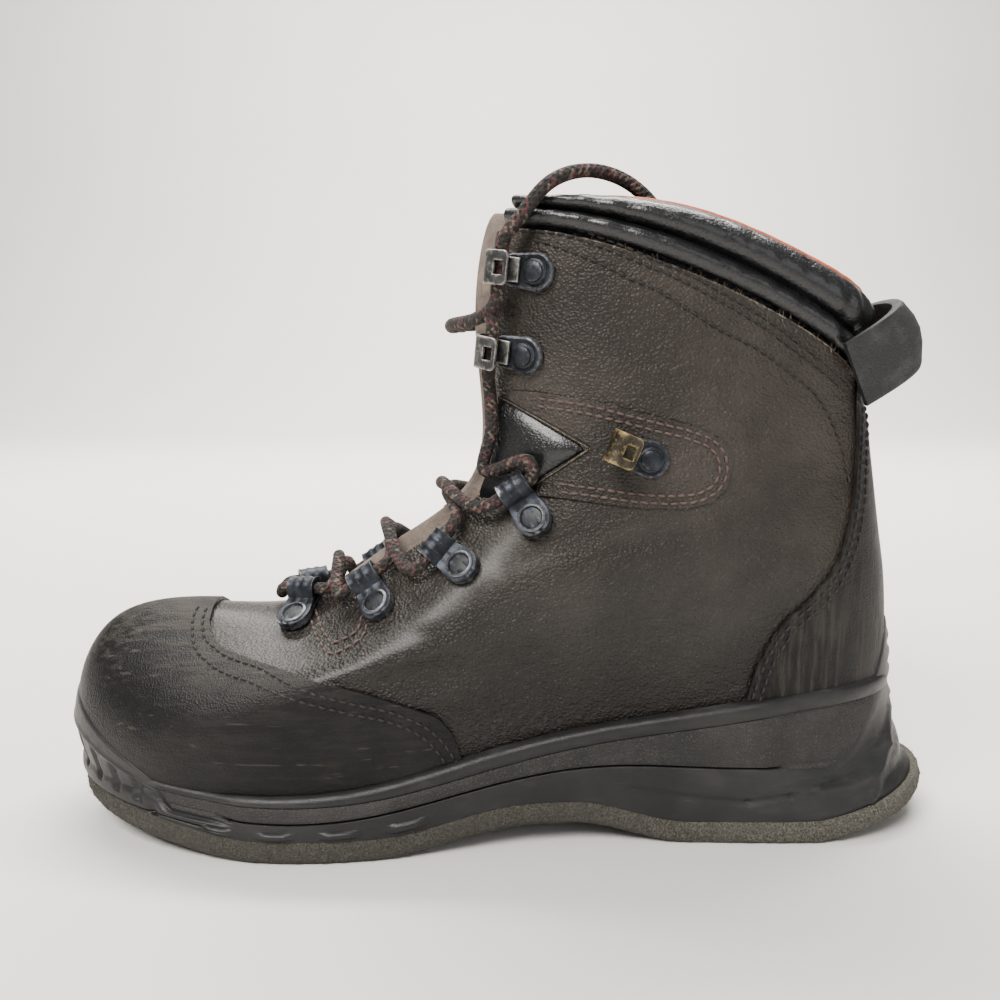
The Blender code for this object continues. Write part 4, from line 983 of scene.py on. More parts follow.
for share in np.linspace(0.1, 1.0, 12):
    height = foot_ring[:, 2] + (middle_z - foot_ring[:, 2]) * share
    out = base_out + (middle_out - base_out) * eased(share, 0.0, 1.0)
    out = out + 1.4 * nub * np.exp(-((share - 0.62) / 0.34) ** 4)
    out = out - 0.9 * at_toe * np.exp(-((share - 0.55) / 0.12) ** 2)
    rings.append(outline(around, out + carved(outline(around, out, height)), height))
for share in np.linspace(0.03, 1.0, 30):
    height = middle_z + (top_z - middle_z) * share
    start = middle_out + (outer - middle_out) * eased(share, 0.0, 0.35)
    close = (HUG_FOOT - HUG_THINNING * eased(share, 0.55, 1.0)) * np.ones(FINE_SPOKES)
    start = start + (close - start) * hugs * eased(share, 0.15, 0.6)
    start = start - 1.0 * slots * at_toe * eased(share, 0.10, 0.16) * (1.0 - eased(share, 0.55, 0.62))
    start = start + 0.5 * at_toe * np.exp(-((share - 0.64) / 0.05) ** 2)
    blocks = eased(np.sin(height * FULL_TURN / 7.5), -0.3, 0.3) * eased(height, 38.0, 42.0)
    blocks *= at_heel * np.exp(-(side_turn / 0.16) ** 4) * (1.0 - eased(share, 0.88, 0.94))
    start = start + 0.9 * blocks
    rim = -0.5 * eased(share, 0.95, 1.0)
    ring = beside_wall(around, height, start + rim)
    rings.append(beside_wall(around, height, start + rim + carved(ring)))
rings.append(beside_wall(around, top_z, np.where(hugs > 0.5, HUG_INSIDE, SHELTER + 0.75)))
inside_floor = low_z - 1.3
for share in (0.9, 0.6, 0.3, 0.0):
    rings.append(beside_wall(around, inside_floor + (top_z - inside_floor) * share,
                             np.where(hugs > 0.5, HUG_INSIDE, SHELTER + 0.6)))
shell = stacked("rubber_shell", rings, rubber, sharp=50.0)
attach(shell, "root")
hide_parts("rubber_outsole")

foam = Finish("foam_midsole", roughness=0.8, Specular_IOR_Level=0.3)
crumb = foam.cells(1300.0)
speck = foam.noise(2100.0, 2.0, 0.6)
shade = foam.noise(40.0, 3.0, 0.6)
grey = foam.blend(foam.between(shade, 0.3, 0.7), (0.014, 0.0135, 0.0130), (0.027, 0.0255, 0.0245))
foam.wear("Base Color", foam.blend(foam.between(speck, 0.56, 0.72) * 0.5, grey, (0.10, 0.095, 0.088)))
foam.wear("Roughness", 0.62 + 0.15 * crumb)
foam.relief((shade, 0.0005), (crumb, 0.00022), (speck, 0.00012))
clear = openness(around)
inner = SHELTER - 0.6
band = inner + (RAND_OUT + 0.4 - inner) * clear
high_z = sole_height(MIDSOLE_TOP, around)
bed_z = sole_height(FOOTBED, around)
rings = [outline(around, inner, low_z - 1.0), beside_wall(around, low_z + GAP, inner),
         beside_wall(around, low_z + GAP + 0.5, band - 0.35)]
for share in (0.08, 0.3, 0.6, 0.9):
    rings.append(beside_wall(around, low_z + 1.0 + (high_z - low_z - 1.6) * share, band))
rings += [beside_wall(around, high_z, band - 0.5), beside_wall(around, high_z, 0.1),
          beside_wall(around, (high_z + bed_z) / 2.0, 0.1), outline(around, 0.1, bed_z)]
wedge = stacked("midsole_wedge", rings, foam)
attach(wedge, "root")
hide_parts("midsole")

rand_out = SHELTER + (RAND_OUT - SHELTER) * clear
low_rand = high_z + 0.15
high_rand = sole_height(RAND_TOP, around)
rings = [beside_wall(around, low_rand, 0.15), beside_wall(around, low_rand, rand_out - 0.3),
         beside_wall(around, low_rand + 0.5, rand_out),
         beside_wall(around, high_rand - 1.6, rand_out - 0.1),
         beside_wall(around, high_rand - 0.7, rand_out - 0.7),
         beside_wall(around, high_rand, rand_out - 1.7),
         beside_wall(around, high_rand + 0.2, 0.15)]
total = len(rings) * FINE_SPOKES
faces = [[v % total for v in face] for face in ring_faces(len(rings) + 1, FINE_SPOKES)]
rand = made_piece("rubber_rand", np.vstack(rings), faces, rubber)
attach(rand, "root")
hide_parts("rand")

# Ankle inserts and panels. Black padded triangles sewn into the ankle's notches, inside a
# long leaf-shaped panel of the same leather, 0.9 mm thick, with its raw edge showing.
PANEL = 0.9
PAD_RISE = 2.3
PAD_SUNK = 1.2
PAD_SHOULDER = 3.2
PANEL_OUTLINE = ((0.520, 0.722), (0.467, 0.718), (0.412, 0.706), (0.377, 0.693), (0.342, 0.680),
                 (0.305, 0.666), (0.278, 0.644), (0.268, 0.610), (0.273, 0.574), (0.289, 0.552),
                 (0.315, 0.543), (0.363, 0.544), (0.411, 0.552), (0.446, 0.557), (0.520, 0.560))

glossy = Finish("padded_black", roughness=0.30, Coat_Roughness=0.18, Specular_IOR_Level=0.4)
skin = glossy.cells(1100.0)
crinkle = glossy.noise(640.0, 3.0, 0.55, glossy.here((1.0, 1.0, 1.6)))
soiled = glossy.noise(45.0, 4.0, 0.6)
glossy.colour(soiled, 0.45, 0.75, (0.0045, 0.0047, 0.0056), (0.0105, 0.0102, 0.0105))
glossy.wear("Roughness", 0.26 + 0.14 * soiled + 0.05 * skin)
glossy.wear("Coat Weight", 0.45 - 0.25 * soiled)
glossy.relief((soiled, 0.0007), (crinkle, 0.00030), (skin, 0.00014))


def inside_of(rows):
    """Distance inside a closed outline drawn in side view."""
    loop = np.array([(station * LENGTH, height * HEIGHT) for station, height in rows])

    def field(points, spoke, level):
        inside = np.zeros(len(points), bool)
        near = np.full(len(points), 1e9)
        for a, b in zip(loop, np.roll(loop, -1, axis=0)):
            run = b - a
            near = np.minimum(near, off_line(points, a, b)[1])
            across = (a[1] > points[:, 2]) != (b[1] > points[:, 2])
            meets = a[0] + (points[:, 2] - a[1]) * run[0] / (run[1] if run[1] else 1.0)
            inside ^= across & (points[:, 0] < meets)
        return np.where(inside, near, -near)

    return field


def crowned(spoke, level):
    depth = open_notch(smooth_last(spoke, level), spoke, level)
    return (PAD_RISE + PAD_SUNK) * (1.0 - np.exp(-np.maximum(depth, 0.0) / PAD_SHOULDER)) - PAD_SUNK


pads = marked.trim(notch(-GAP)).sewn("ankle_pads", -WALL, crowned, glossy)
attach(pads, "root")
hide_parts("ankle_insert_medial", "ankle_insert_lateral")

panel_field = inside_of(PANEL_OUTLINE)
rim = notch(1.6)
panels = marked.trim(lambda points, spoke, level: np.minimum(
    panel_field(points, spoke, level), -rim(points, spoke, level))).sewn(
    "ankle_panels", 0.05, PANEL, hide, 0.3)
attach(panels, "root")

# Tongue. Soft brown-grey nubuck, 3.6 mm padded, filling the throat and standing up inside
# the collar.
TONGUE = 3.6
TONGUE_TUCK = 10.0
COLLAR_CLEAR = 5.5
TONGUE_BULGE = 3.4

nap = Finish("tongue_nubuck", roughness=0.95)
fuzz = nap.noise(1800.0, 3.0, 0.7)
rubs = nap.noise(60.0, 5.0, 0.65)
nap.colour(rubs * 0.7 + fuzz * 0.3, 0.35, 0.68, (0.055, 0.042, 0.034), (0.185, 0.143, 0.115))
nap.relief((rubs, 0.0016), (fuzz, 0.00025))

tongue_levels = np.linspace(THROAT_BASE - 0.35, 8.72, 84)
tuck = TONGUE_TUCK * (0.6 + 0.4 * eased(tongue_levels, tongue_levels[0], THROAT_BASE + 0.8))
tuck += (COLLAR_CLEAR - 2.0 - TONGUE_TUCK) * eased(tongue_levels, 6.0, 7.2)
reach = half_gap(tongue_levels) + tuck
first = turn_at_width(1, tongue_levels, reach)
last = turn_at_width(-1, tongue_levels, reach)
tongue_cut = Cut()
tongue_cut.lay(np.linspace(first, last, 41, axis=1), tongue_levels)


def tongue_top(spoke, level):
    across = np.abs(smooth_last(spoke, level)[:, 1]) / np.maximum(half_gap(level), 6.0)
    return -WALL - 1.0 + TONGUE_BULGE * (1.0 - eased(across, 0.0, 1.15))


tongue = tongue_cut.sewn("tongue_panel", lambda spoke, level: tongue_top(spoke, level) - TONGUE,
                         tongue_top, nap, 0.8)
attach(tongue, "root")
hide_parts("tongue")

# Collar. Two padded rolls of soft black leather with a stitched valley between them, bound
# in orange along the top, open in front.
COLLAR_LEVEL = 8.06
COLLAR_PROFILE = (
    # level above the leather's edge, offset from the last, mm
    (-0.55, -3.0), (-0.02, -2.6), (0.03, 0.8), (0.10, 3.0), (0.21, 3.5), (0.32, 1.7),
    (0.375, -0.9), (0.43, 1.2), (0.55, 3.0), (0.70, 2.7), (0.84, 0.6), (0.925, -2.4),
    (0.93, -5.6), (0.80, -8.2), (0.45, -9.2), (0.0, -9.0), (-0.45, -8.0), (-0.60, -5.4))
COLLAR_TURNS = 220

orange = Finish("orange_lining", roughness=0.75)
orange.colour(orange.noise(300.0, 3.0, 0.6), 0.3, 0.7, (0.40, 0.070, 0.020), (0.56, 0.115, 0.038))
orange.relief((orange.noise(2200.0, 2.0, 0.6), 0.0002))


def ring_of(profile, spoke, fine):
    """Rows of places round a section that is a closed curve of level and offset."""
    at = np.arange(fine) * FULL_TURN / fine
    profile = np.array(profile)
    levels = round_spline(profile[:, 0], at)
    outs = round_spline(profile[:, 1], at)
    waves = 0.35 * np.sin(spoke * 23.0 + 2.0 * np.sin(spoke * 9.0)) + 0.25 * np.sin(spoke * 41.0 + 1.3)
    rows = []
    for level, out in zip(levels, outs):
        soft = waves * (1.0 if out > 0.0 else 0.3)
        rows.append(upper_surface(spoke, COLLAR_LEVEL + level, out + soft))
    return rows


def closed_bar(rows):
    """Points and faces of a bar through closed sections; rows run along it."""
    count, total = len(rows[0]), len(rows)
    faces = []
    for k in range(total):
        here, beyond = k * count, (k + 1) % total * count
        faces += [[here + i, here + i + 1, beyond + i + 1, beyond + i] for i in range(count - 1)]
    return np.vstack(rows), faces + [[k * count for k in range(total)],
                                     [k * count + count - 1 for k in range(total)]]


mouth = turn_at_width(1, COLLAR_EDGE, THROAT_TOP_WIDTH / 2.0 + COLLAR_CLEAR)[0]
collar_spokes = np.linspace(-mouth, mouth, COLLAR_TURNS)
points, faces = closed_bar(ring_of(COLLAR_PROFILE, collar_spokes, 72))
collar = made_piece("collar_rolls", points, faces, glossy, sharp=60.0)
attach(collar, "root")
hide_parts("collar")

BINDING = ((0.87, -2.4), (0.93, -2.3), (0.965, -3.4), (0.94, -5.0), (0.88, -5.0), (0.85, -3.6))
points, faces = closed_bar(ring_of(BINDING, collar_spokes, 18))
binding = made_piece("collar_binding", points, faces, orange, sharp=60.0)
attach(binding, "root")

# Pull strap. A wide loop of matt black webbing with rolled rims, out from under the collar's
# lower roll on both sides and round behind the heel.
STRAP = 2.6
STRAP_SEAT = (0.131, 0.748)
STRAP_LEAN = math.radians(32)
STRAP_EDGES = ((-12.5, 33.6, 31.5), (12.5, 22.0, 29.0))
STRAP_ROOT = -2.0
STRAP_RIM = 0.7

webbing = Finish("strap_webbing", roughness=0.8)
ribs = webbing.cells(1500.0)
rubbed_strap = webbing.noise(120.0, 4.0, 0.65)
webbing.colour(rubbed_strap, 0.45, 0.75, (0.008, 0.008, 0.0085), (0.030, 0.030, 0.031))
webbing.wear("Roughness", 0.62 + 0.15 * ribs)
webbing.relief((rubbed_strap, 0.0006), (ribs, 0.00030))


def on_frame(frame, ahead, across, out):
    """Places from a seat's own directions."""
    origin, forward, along, normal = frame
    ahead, across, out = np.broadcast_arrays(*[
        np.atleast_1d(np.asarray(part, float)) for part in (ahead, across, out)])
    return origin + ahead[:, None] * forward + across[:, None] * along + out[:, None] * normal


strap_frame = (np.array([STRAP_SEAT[0] * LENGTH, 0.0, STRAP_SEAT[1] * HEIGHT]),
               np.array([-math.cos(STRAP_LEAN), 0.0, math.sin(STRAP_LEAN)]),
               np.array([-math.sin(STRAP_LEAN), 0.0, -math.cos(STRAP_LEAN)]), np.array([0.0, 1.0, 0.0]))
strap_turn = np.linspace(0.0, math.pi, 61)
half_section = [(0.4, 0.0), (0.74, 0.10), (0.82, 0.30), (0.90, 0.62), (0.99, 0.45), (1.0, -0.1)]
section = [(-share, rise) for share, rise in half_section[::-1]] + [(0.0, 0.0)] + half_section
outline_of_strap = [(share, STRAP_RIM * rise) for share, rise in section]
outline_of_strap += [(share, -STRAP - 0.5 * STRAP_RIM * rise) for share, rise in section[::-1]]
rows = []
for share, rise in outline_of_strap:
    (low_across, low_half, low_reach), (high_across, high_half, high_reach) = STRAP_EDGES
    t = (share + 1.0) / 2.0
    half_width = low_half + (high_half - low_half) * t + rise
    strap_reach = low_reach + (high_reach - low_reach) * t + rise + 2.2 - 4.6 * share ** 2
    ahead = STRAP_ROOT + (strap_reach - STRAP_ROOT) * np.sin(strap_turn) ** 0.62
    rows.append(on_frame(strap_frame, ahead, low_across + (high_across - low_across) * t,
                         half_width * np.cos(strap_turn)))
points, faces = closed_bar(rows)
strap = made_piece("pull_strap", points, faces, webbing, sharp=60.0)
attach(strap, "root")
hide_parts("pull_loop")

# Lacing hardware. Blue-black coated loops folded round the lace with hollow rivets, hooks of
# bent steel with a slot standing on drop-shaped plates; edges worn to bright metal.
LOOP_SEATS = ((0.739, 0.341, 112, 1.2), (0.640, 0.377, 56, 0.0), (0.548, 0.445, 40, 0.0),
              (0.472, 0.522, 56, 0.0))
HOOK_SEATS = ((0.354, 0.618, 22, 0.0), (0.481, 0.774, 6, 0.0), (0.471, 0.896, 6, 0.0))
LOOP_WIDTH = 11.0
LOOP_BARREL = 11.5
LOOP_EYE = 6.4
LOOP_SHEET = 1.3
LOOP_BORE = 5.8
PLATE_WIDTH = 13.0
PLATE_LENGTH = 21.0
PLATE = 1.8
HOOK_HALF = 5.5
HOOK_SHEET = 1.2
HOOK_BORE = 6.6
HOOK_REACH = 15.0
CUP_PROFILE = ((5.0, -0.2), (5.0, 0.45), (4.6, 0.85), (4.1, 0.9), (3.7, 0.6), (3.5, 0.02),
               (3.1, -0.02))
RIVET_SHADE_PROFILE = ((3.55, 0.04), (3.3, 0.10), (2.2, 0.18), (0.9, 0.30))
DOME_PROFILE = ((4.3, 0.0), (4.3, 0.5), (4.1, 0.9), (3.5, 1.15), (3.3, 1.75), (2.6, 2.1),
                (1.4, 2.3), (0.4, 2.35))
SEAT_TURN = 0.35
FACET_GAP = 0.55


def coated(name, dark, worn_colour, edge):
    metal = Finish(name, roughness=0.4, metallic=0.75)
    scratch = metal.noise(700.0, 4.0, 0.7)
    patch = metal.noise(170.0, 4.0, 0.6)
    edges = metal.node("ShaderNodeNewGeometry", output="Pointiness")
    bare = metal.between(edges + 0.10 * scratch, edge, edge + 0.05)
    dull = metal.blend(metal.between(patch, 0.4, 0.7), dark, tuple(2.4 * part for part in dark))
    metal.wear("Base Color", metal.blend(bare, dull, worn_colour))
    metal.wear("Roughness", 0.34 + 0.22 * patch)
    metal.relief((patch, 0.0004), (scratch, 0.00012))
    return metal


gunmetal = coated("coated_metal", (0.015, 0.017, 0.0215), (0.17, 0.175, 0.185), 0.585)
bright = coated("hook_steel", (0.042, 0.043, 0.044), (0.42, 0.40, 0.36), 0.56)
brass = coated("hook_brass", (0.026, 0.023, 0.017), (0.38, 0.28, 0.12), 0.56)
# Painted shade: a near-black finish for discs that stand in for the shade inside the rivets' bores, small
# dots on the hook plates and the drain holes.
hole_shade = Finish("painted_hole_shade", roughness=0.5, metallic=0.3)
hole_shade.wear("Base Color", (0.010, 0.011, 0.013))


def seat(side, row):
    """Origin and directions of a fitting on the leather: ahead to the throat, along it, out."""
    station, height, slope, inward = row
    spoke, level = find_place(side, station * LENGTH, height * HEIGHT)
    origin = smooth_last(spoke, level)[0]
    normal = last_normal(spoke, level)[0]
    slope = math.radians(slope)
    aim = np.array([math.cos(slope), -side * inward, math.sin(slope)])
    forward = unit(aim - normal * aim.dot(normal))
    turn, climb = np.meshgrid(np.linspace(-SEAT_TURN, SEAT_TURN, 41), np.linspace(-1.0, 1.0, 41))
    under = smooth_last(spoke + turn.ravel(), np.clip(level + climb.ravel(), 0.0, 9.0)) - origin
    tip = under[np.linalg.norm(under - forward * LOOP_BARREL, axis=1).argmin()]
    forward = unit(forward * LOOP_BARREL + normal * max(0.0, tip.dot(normal)))
    normal = unit(normal - forward * normal.dot(forward))
    along = np.cross(normal, forward)
    if along.dot((-1.0, 0.0, 1.0)) < 0:
        along = -along
    near = (under.dot(forward) > -PLATE_WIDTH / 2.0) & (under.dot(forward) < LOOP_BARREL + 2.0)
    near &= np.abs(under.dot(along)) < PLATE_WIDTH / 2.0
    lift = under[near].dot(normal).max()
    return origin + normal * (lift + FACET_GAP), forward, along, normal


def turned(profile, frame, steps=28, centre=(0.0, 0.0)):
    """Round shape about a seat's normal, from a profile of radius and height."""
    angle = np.arange(steps) * FULL_TURN / steps
    points = np.vstack([on_frame(frame, centre[0] + radius * np.cos(angle),
                                 centre[1] + radius * np.sin(angle), out) for radius, out in profile])
    return points, ring_faces(len(profile), steps) + [
        list(range(steps)), [(len(profile) - 1) * steps + k for k in range(steps)]]


def bent_sheet(path, half_widths, sheet, frame, across_steps=8, hole=None, ridge=None):
    """Strip of metal along a path (ahead, out); hole(ahead share, across) cuts it."""
    path = np.array(path, float)
    run = unit(np.gradient(path, axis=0))
    side = np.stack([-run[:, 1], run[:, 0]], axis=1) * sheet / 2.0
    shares = np.linspace(-1.0, 1.0, across_steps + 1)
    layers = []
    for sign in (-1.0, 1.0):
        flat = path + side * sign
        rows = []
        for share in shares:
            extra = ridge(share * np.array(half_widths)) if ridge and sign < 0 else 0.0
            lifted = flat + np.stack([run[:, 1], -run[:, 0]], axis=1) * np.reshape(extra, (-1, 1))
            rows.append(on_frame(frame, lifted[:, 0], share * np.array(half_widths), lifted[:, 1]))
        layers.append(np.stack(rows))
    count, wide = len(path), across_steps + 1
    points = np.vstack([layer.reshape(-1, 3) for layer in layers])
    faces, uses = [], {}
    for j in range(across_steps):
        for i in range(count - 1):
            middle = (shares[j] + shares[j + 1]) / 2.0 * (half_widths[i] + half_widths[i + 1]) / 2.0
            if hole and hole(i + 0.5, middle):
                continue
            face = [j * count + i, j * count + i + 1, (j + 1) * count + i + 1, (j + 1) * count + i]
            faces.append(face)
            for n, a in enumerate(face):
                edge = tuple(sorted((a, face[(n + 1) % 4])))
                uses[edge] = uses.get(edge, 0) + 1
    total = count * wide
    back = [[v + total for v in face[::-1]] for face in faces]
    sides = [[a, b, b + total, a + total] for (a, b), n in uses.items() if n == 1]
    used = sorted({v for face in faces + back + sides for v in face})
    number = {v: n for n, v in enumerate(used)}
    return points[used], [[number[v] for v in face] for face in faces + back + sides]


loops, cups, plates, domes, steel_hooks, brass_hooks, hole_shades = [Heap() for _ in range(7)]
loop_radius = (LOOP_BORE + LOOP_SHEET) / 2.0
loop_low = LOOP_SHEET / 2.0
loop_high = loop_low + LOOP_SHEET + GAP
loop_path = [(x, loop_low) for x in (-6.2, -5.6, -4.4, -2.8, 0.0, 3.0, 6.0, 8.0, LOOP_BARREL - 1.5)]
for k in range(17):
    angle = math.radians(-90 + 14.0 * k)
    loop_path.append((LOOP_BARREL + loop_radius * math.cos(angle),
                      loop_low + loop_radius * (1.0 + math.sin(angle))))
loop_path += [(LOOP_BARREL - loop_radius * 1.15, loop_high + 0.9), (5.6, loop_high + 0.15)]
loop_path += [(x, loop_high) for x in (4.2, 2.0, 0.0, -2.8, -4.4, -5.6, -6.2)]
loop_half = [math.sqrt(max(0.3, LOOP_EYE ** 2 - min(x, 0.0) ** 2)) * (1.0 - 0.17 * eased(x, 0.0, 8.0))
             for x, z in loop_path]
for side in (1, -1):
    for row in LOOP_SEATS:
        frame = seat(side, row)
        loops.add(*bent_sheet(loop_path, loop_half, LOOP_SHEET, frame, 12,
                              ridge=lambda across: 0.5 * np.exp(-((np.abs(across) - 1.5) / 0.55) ** 2)
                              + 0.35 * np.exp(-((np.abs(across) - 5.2) / 0.5) ** 2)))
        top = 2.0 * LOOP_SHEET + GAP
        cups.add(*turned([(radius, top + out) for radius, out in CUP_PROFILE], frame))
        # A dark disc inside each rivet's rim, painted shade for its hollow bore.
        hole_shades.add(*turned([(radius, top + out) for radius, out in RIVET_SHADE_PROFILE], frame))
hook_low = PLATE + GAP + HOOK_SHEET / 2.0
hook_radius = (HOOK_BORE + HOOK_SHEET) / 2.0
hook_path = [(x, hook_low) for x in (5.2, 7.5, 9.5, HOOK_REACH - hook_radius)]
for k in range(1, 15):
    angle = math.radians(-90 + 12.5 * k)
    hook_path.append((HOOK_REACH - hook_radius * (1.0 - math.cos(angle)),
                      hook_low + hook_radius * (1.0 + math.sin(angle))))
flap = HOOK_REACH - hook_radius
hook_path += [(flap - x, hook_low + 2.0 * hook_radius + 0.05 * x)
              for x in (0.7, 1.4, 2.1, 2.8, 3.5, 4.2, 4.8, 5.3, 5.6)]
hook_half = [4.0] * 4 + [4.4, 4.9, 5.3] + [HOOK_HALF] * (len(hook_path) - 10)
hook_half += [HOOK_HALF - 0.3, HOOK_HALF - 1.0, HOOK_HALF - 2.1]
half_plate = (PLATE_LENGTH - PLATE_WIDTH) / 2.0
for side in (1, -1):
    for number, row in enumerate(HOOK_SEATS):
        frame = seat(side, row)
        angle = FULL_TURN * (np.arange(48) + 0.5) / 48
        rings = []
        for inset, out in ((0.0, 0.0), (0.0, PLATE * 0.45), (0.35, PLATE * 0.85), (0.9, PLATE),
                           (1.8, PLATE - 0.25)):
            width = np.where(np.cos(angle) > 0, PLATE_WIDTH * 0.42, PLATE_WIDTH / 2.0) - inset
            ahead = np.cos(angle) * width + np.where(np.cos(angle) > 0, 2.0 * half_plate, 0.0)
            rings.append(on_frame(frame, ahead, np.sin(angle) * width, out))
        plates.add(np.vstack(rings), ring_faces(5, 48) + [
            list(range(48)), [4 * 48 + k for k in range(48)]])
        top = PLATE - 0.2
        domes.add(*turned([(radius, top + out) for radius, out in DOME_PROFILE], frame))
        # Two small dots of painted shade on each plate.
        for across in (-4.4, 4.4):
            hole_shades.add(*turned(((0.55, PLATE - 0.2), (0.55, PLATE + 0.05), (0.3, PLATE + 0.06)),
                             frame, 10, (3.4, across)))
        heap = brass_hooks if number == 0 else steel_hooks
        heap.add(*bent_sheet(hook_path, hook_half, HOOK_SHEET, frame, 10,
                             hole=lambda i, across: 18.0 < i < 22.6 and abs(across) < 2.6))


def both(stem, numbers):
    """Names of the fittings on both sides."""
    return [f"{stem}_{word}_{k}" for word in ("medial", "lateral") for k in numbers]


hardware = (
    (loops.made("lacing_loops", gunmetal, 0.18), both("lace_loop", (1, 2, 3, 4)), "coated_metal"),
    (cups.made("loop_rims", gunmetal), both("loop_rivet", (1, 2, 3, 4)), "coated_metal"),
    (plates.made("hook_bases", gunmetal), both("hook_plate", (1, 2, 3)), "coated_metal"),
    (domes.made("hook_domes", gunmetal), both("hook_rivet", (1, 2, 3)), "coated_metal"),
    (steel_hooks.made("steel_hooks", bright, 0.2), both("hook", (2, 3)), "steel"),
    (brass_hooks.made("brass_hooks", brass, 0.2), both("hook", (1,)), "steel"),
    (hole_shades.made("rivet_pits", hole_shade), [], "coated_metal"))
for piece, nodes, slot_name in hardware:
    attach(piece, "root")
    if nodes:
        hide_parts(*nodes)

# Lace. Round braid 4.6 mm thick, black with maroon and tan yarns, through the loops and
# hooks; its loose end goes over the collar and down inside.
LACE = 4.6
LEAD = 3.4
CROSS_LEVELS = (4.46, 5.00, 5.65)
RUN_RAILS = ((5.95, 15.5), (6.30, 16.5), (6.75, 18.0))
LACE_END_ROUTE = ((158.5, 33.5, 216.5), (149.5, 35.0, 226.5), (136.0, 28.5, 231.5),
                  (121.0, 22.0, 228.0), (112.0, 19.5, 220.0), (106.5, 19.0, 207.0),
                  (103.0, 19.0, 192.0))
YARNS = 5.0
YARN_PITCH = 2.4

braid = Finish("braided_lace", roughness=0.9)
where = braid.node("ShaderNodeUVMap")
turn_part = braid.part(where, 0) * YARNS
along_part = braid.part(where, 1) * (1.0 / YARN_PITCH)
one_way = turn_part + along_part
other_way = turn_part - along_part

weave_height = (one_way * FULL_TURN).alone("SINE").above((other_way * FULL_TURN).alone("SINE"))
cell = braid.node("ShaderNodeCombineXYZ", None, {
    0: (one_way * 2.0).alone("FLOOR"), 1: other_way.alone("FLOOR")})
chance = braid.node("ShaderNodeTexWhiteNoise", {"noise_dimensions": "2D"}, {"Vector": cell})
fleck = braid.blend(braid.between(chance, 0.88, 0.90), (0.070, 0.022, 0.022), (0.115, 0.085, 0.065))
yarn = braid.blend(braid.between(chance, 0.70, 0.72), (0.0105, 0.0090, 0.0085), fleck)
faded = braid.between(braid.noise(500.0, 3.0, 0.7), 0.40, 0.75) * 0.35
braid.wear("Base Color", braid.blend(faded, yarn, (0.060, 0.050, 0.040)))
braid.relief((weave_height, 0.00035), (braid.noise(3500.0, 2.0, 0.6), 0.00025))


def gone_along(points):
    """Length of a route up to each of its places."""
    return np.concatenate([[0.0], np.cumsum(np.linalg.norm(np.diff(points, axis=0), axis=1))])


def read_along(at, gone, points):
    """Places at given lengths along a route."""
    return np.stack([np.interp(at, gone, points[:, axis]) for axis in range(3)], axis=1)


def smooth_route(points, spacing):
    """Evenly spaced places on a smooth curve through given ones."""
    points = np.array(points, float)
    step = np.linalg.norm(np.diff(points, axis=0), axis=1)
    knots = np.concatenate([[0.0], np.cumsum(step)])
    slope = np.gradient(points, knots, axis=0)
    at = np.linspace(0.0, knots[-1], 60 * len(points))
    left = np.clip(np.searchsorted(knots, at, side="right") - 1, 0, len(points) - 2)
    t = ((at - knots[left]) / step[left])[:, None]
    s = 1.0 - t
    lead = step[left][:, None]
    curve = points[left] * (1.0 + 2.0 * t) * s * s + points[left + 1] * (3.0 - 2.0 * t) * t * t
    curve += lead * t * s * (slope[left] * s - slope[left + 1] * t)
    lengths = gone_along(curve)
    at = np.linspace(0.0, lengths[-1], max(4, int(round(lengths[-1] / spacing))) + 1)
    return read_along(at, lengths, curve)


def braided(name, routes, diameter, sides=14):
    """Tubes along routes in one mesh; the UV map holds the turn and the length in mm."""
    points, faces, marks = [], [], []
    total = 0
    angle = np.arange(sides) * FULL_TURN / sides
    for route in routes:
        run = unit(np.gradient(route, axis=0))
        across = np.cross(run[0], (0.0, 0.3, 1.0))
        rings = []
        for spot, direction in zip(route, run):
            across = unit(across - direction * across.dot(direction))
            lift = np.cross(direction, across)
            round_it = np.cos(angle)[:, None] * across + np.sin(angle)[:, None] * lift
            rings.append(spot + round_it * diameter / 2.0)
        gone = gone_along(route)
        faces += ring_faces(len(route), sides, total)
        for i in range(len(route) - 1):
            for k in range(sides):
                marks.append(((k / sides, gone[i]), ((k + 1) / sides, gone[i]),
                              ((k + 1) / sides, gone[i + 1]), (k / sides, gone[i + 1])))
        for start in (0, (len(route) - 1) * sides):
            faces.append([total + start + k for k in range(sides)])
            marks.append(((0.5, 0.5),) * sides)
        points.append(np.vstack(rings))
        total += len(route) * sides
    return made_piece(name, np.vstack(points), faces, braid, sharp=180.0, marks=marks)


def loop_end(side, number, end, clear):
    """A place in line with a loop's bore; end is -1 at the toe's side, 1 above."""
    return on_frame(seat(side, LOOP_SEATS[number]), LOOP_BARREL, end * (LOOP_WIDTH / 2.0 + clear),
                    (LOOP_BORE + 2.0 * LOOP_SHEET) / 2.0)[0]


def loop_turn(side, number):
    """Where the lace bends round a loop's upper corner."""
    return on_frame(seat(side, LOOP_SEATS[number]), LOOP_BARREL + LACE * 0.7,
                    LOOP_WIDTH / 2.0 + LACE * 0.85, (LOOP_BORE + 2.0 * LOOP_SHEET) / 2.0 + LACE / 2.0)[0]


def hook_end(side, number, end, clear):
    """A place in line with a hook's curl; end is -1 below it, 1 above."""
    return on_frame(seat(side, HOOK_SEATS[number]), HOOK_REACH - HOOK_SHEET - HOOK_BORE / 2.0,
                    end * (4.75 + clear), PLATE + 2.0 * GAP + HOOK_SHEET + LACE / 2.0)[0]


def over_ridge(level, out):
    """A place over the middle of the throat."""
    return upper_surface(math.pi, level, out)[0]


